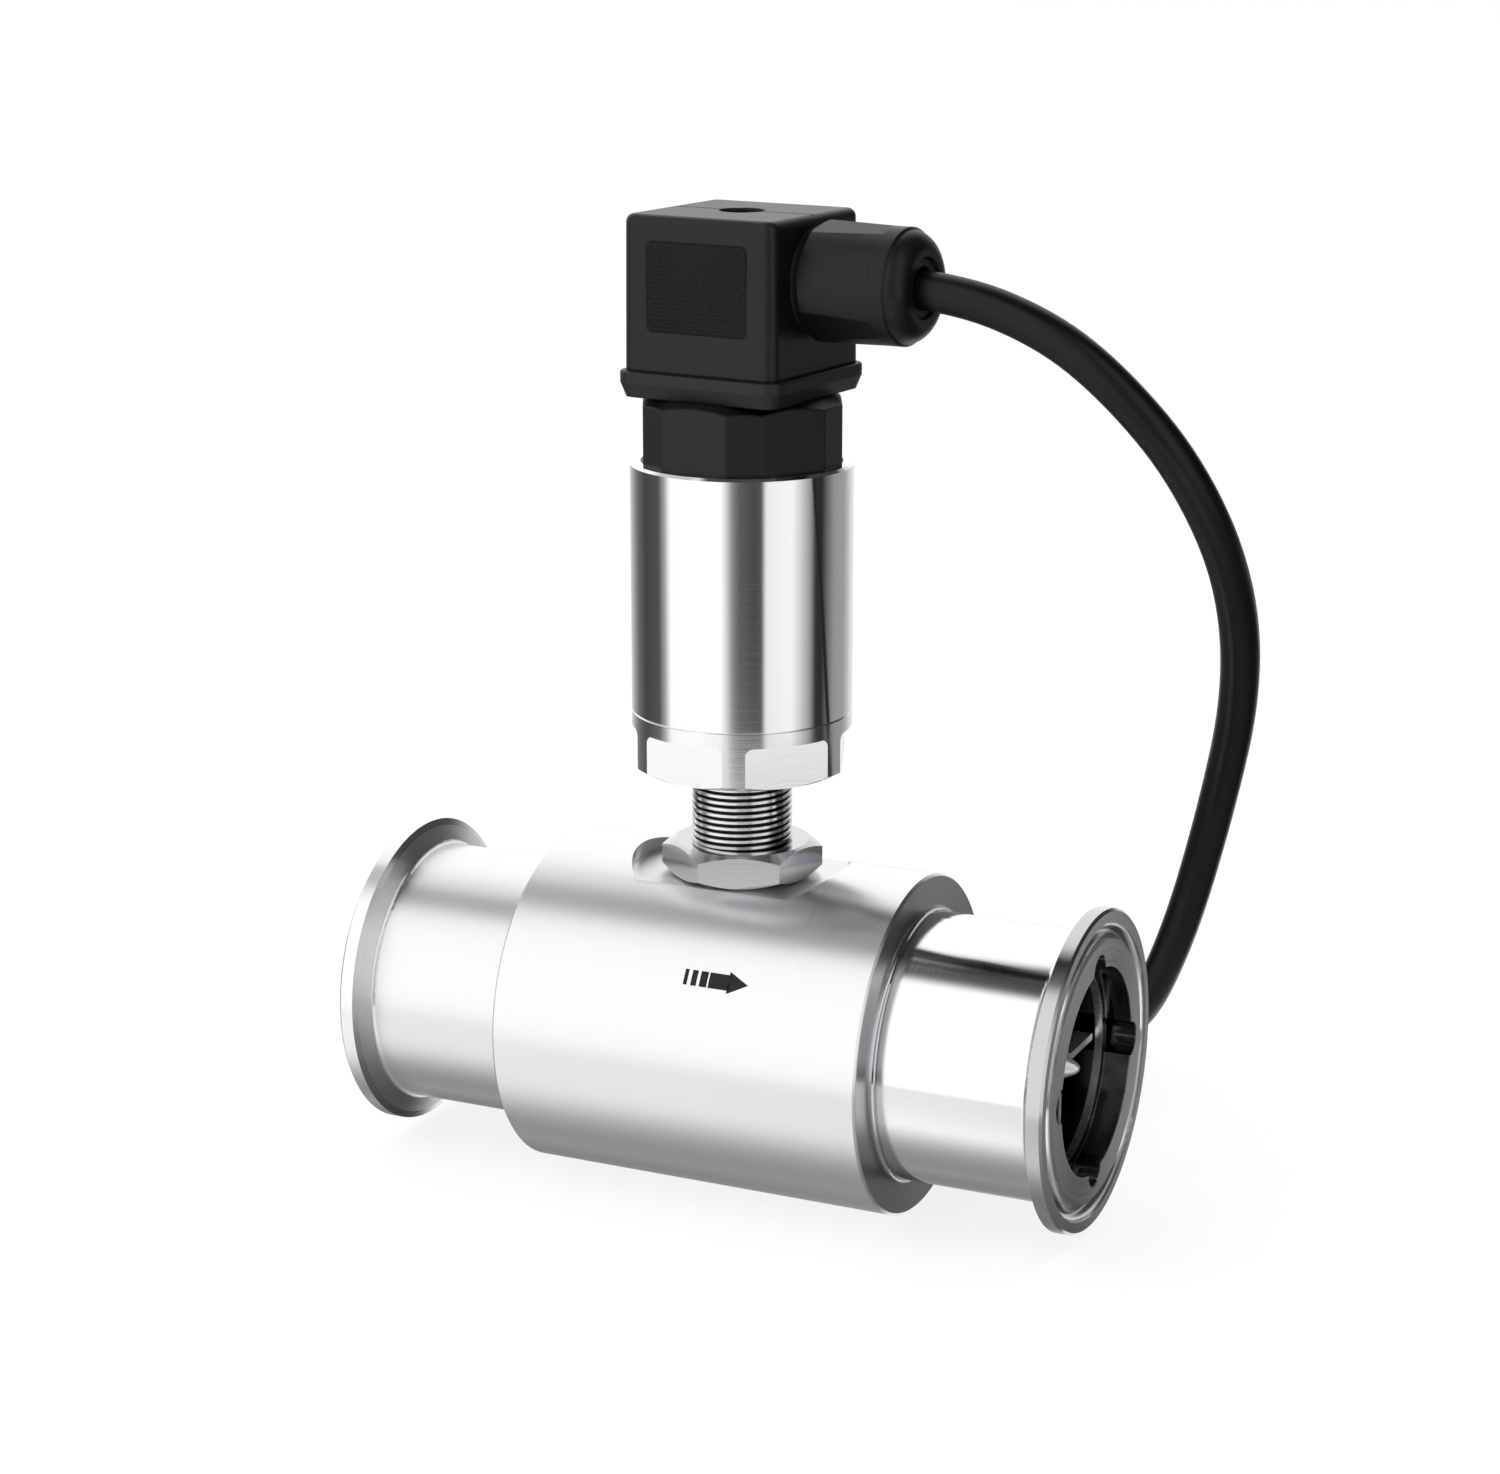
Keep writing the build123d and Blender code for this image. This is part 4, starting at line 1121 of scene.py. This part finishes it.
def panel_ramp(tree, place, panels):
    """A colour ramp round the horizon that closes on itself."""
    stops = sorted((compass_share(angle), level) for angle, level in panels)
    (first, first_level), (last, last_level) = stops[0], stops[-1]
    gap = 1.0 - last + first
    seam = last_level + (first_level - last_level) * (1.0 - last) / gap
    stops = [(0.0, seam), *stops, (1.0, seam)]
    ramp = add(tree, "ShaderNodeValToRGB", {0: place})
    elements = ramp.color_ramp.elements
    while len(elements) < len(stops):
        elements.new(0.5)
    for element, (share, level) in zip(elements, stops):
        element.position = share
        element.color = grey(level)
    return ramp.outputs[0]


print("the camera stands", round(compass_share(0.0), 3), "of the way round the ramp")

# %% [markdown]
# A direction's height runs from -1, straight down, to 1, straight up. The room is built from the
# bottom to the top, and each ring takes over from the one below it between two heights: slowly at
# the floor, and sharply where the table ends.

# %% Build the room on the world
room_level = 1.22
floor_grey = grey(0.25)
ceiling_grey = grey(0.05)
changes = [(-1.0, -0.7), (-0.293, -0.282), (-0.16, -0.04), (0.892, 0.935)]

world = bpy.data.worlds.new("studio")
scene.world = world
world.use_nodes = True
world.cycles.sampling_method = "NONE"
tree = world.node_tree
tree.nodes.clear()
direction = add(tree, "ShaderNodeTexCoord").outputs["Generated"]
split = add(tree, "ShaderNodeSeparateXYZ", {0: direction})
across, away, height = split.outputs
turn = add(tree, "ShaderNodeMath", {0: away, 1: across}, operation="ARCTAN2").outputs[0]
compass = add(
    tree, "ShaderNodeMapRange", {"Value": turn, "From Min": -math.pi, "From Max": math.pi}
).outputs[0]
rings = [panel_ramp(tree, compass, ring) for ring in (table, eye_level, overhead)]
room = floor_grey
for (low, high), above in zip(changes, [*rings, ceiling_grey]):
    share = add(
        tree,
        "ShaderNodeMapRange",
        {"Value": height, "From Min": low, "From Max": high},
        interpolation_type="SMOOTHSTEP",
    ).outputs[0]
    room = add(tree, "ShaderNodeMix", {0: share, 6: room, 7: above}, data_type="RGBA").outputs[2]
print("room: a grey floor,", len(rings), "rings and a dark ceiling")

# %% [markdown]
# The camera sees plain white, and mirrored rays see the room. Everything else is lit evenly by a
# white sky of nearly full strength and a weak soft lamp, so a colour renders about as it is
# written.

# %% Share the world out between the rays
sky_level = 0.92

paths = add(tree, "ShaderNodeLightPath").outputs
sky, mirrored, seen = (
    add(tree, "ShaderNodeBackground", {"Color": colour, "Strength": level}).outputs[0]
    for colour, level in ((grey(1.0), sky_level), (room, room_level), (grey(1.0), 1.0))
)
unseen = add(tree, "ShaderNodeMixShader", {0: paths["Is Glossy Ray"], 1: sky, 2: mirrored})
whole = add(
    tree, "ShaderNodeMixShader", {0: paths["Is Camera Ray"], 1: unseen.outputs[0], 2: seen}
)
add(tree, "ShaderNodeOutputWorld", {0: whole.outputs[0]})
print("world nodes:", len(tree.nodes))

# %% Add the lamp
lamp_place = (-0.25, -0.45, 0.75)
lamp_aim = Vector((body_middle, 0.0, 0.03))
lamp_size = 0.6
lamp_energy = 1.6

bpy.ops.object.light_add(type="AREA", location=lamp_place)
lamp = bpy.context.object
lamp.name = "soft_lamp"
lamp.data.size = lamp_size
lamp.data.energy = lamp_energy
lamp.rotation_euler = (lamp_aim - lamp.location).to_track_quat("-Z", "Y").to_euler()
lamp.visible_glossy = False
print("lamp energy:", lamp.data.energy)

# %% [markdown]
# The table is a sweep of white paper. To the camera most of it glows at exactly white, so that it
# has no visible edge, and the rest takes light and shade, which leaves the meter a faint shadow
# to stand on. Mirrored rays pass through it to the room's own floor.

# %% Lay the paper
paper_size = 8.0
glow_level = 1.05
glow_share = 0.75

bpy.ops.mesh.primitive_plane_add(size=paper_size, location=(body_middle, 0.0, floor_height))
floor = bpy.context.object
floor.name = "floor"
floor.visible_glossy = False

# Matte white paper: no shine at all.
paper, tree, shader = new_material("white_paper_sweep", "#FFFFFF", 0.0, 0.9, 0.0)
glow = add(tree, "ShaderNodeEmission", {"Color": grey(1.0), "Strength": glow_level})
seen = add(tree, "ShaderNodeLightPath").outputs["Is Camera Ray"]
glowing = add(tree, "ShaderNodeMath", {0: seen, 1: glow_share}, operation="MULTIPLY")
mixed = add(
    tree, "ShaderNodeMixShader", {0: glowing.outputs[0], 1: shader.outputs[0], 2: glow.outputs[0]}
)
tree.links.new(mixed.outputs[0], tree.nodes["Material Output"].inputs[0])
floor.data.materials.append(paper)
print("floor height:", floor_height)
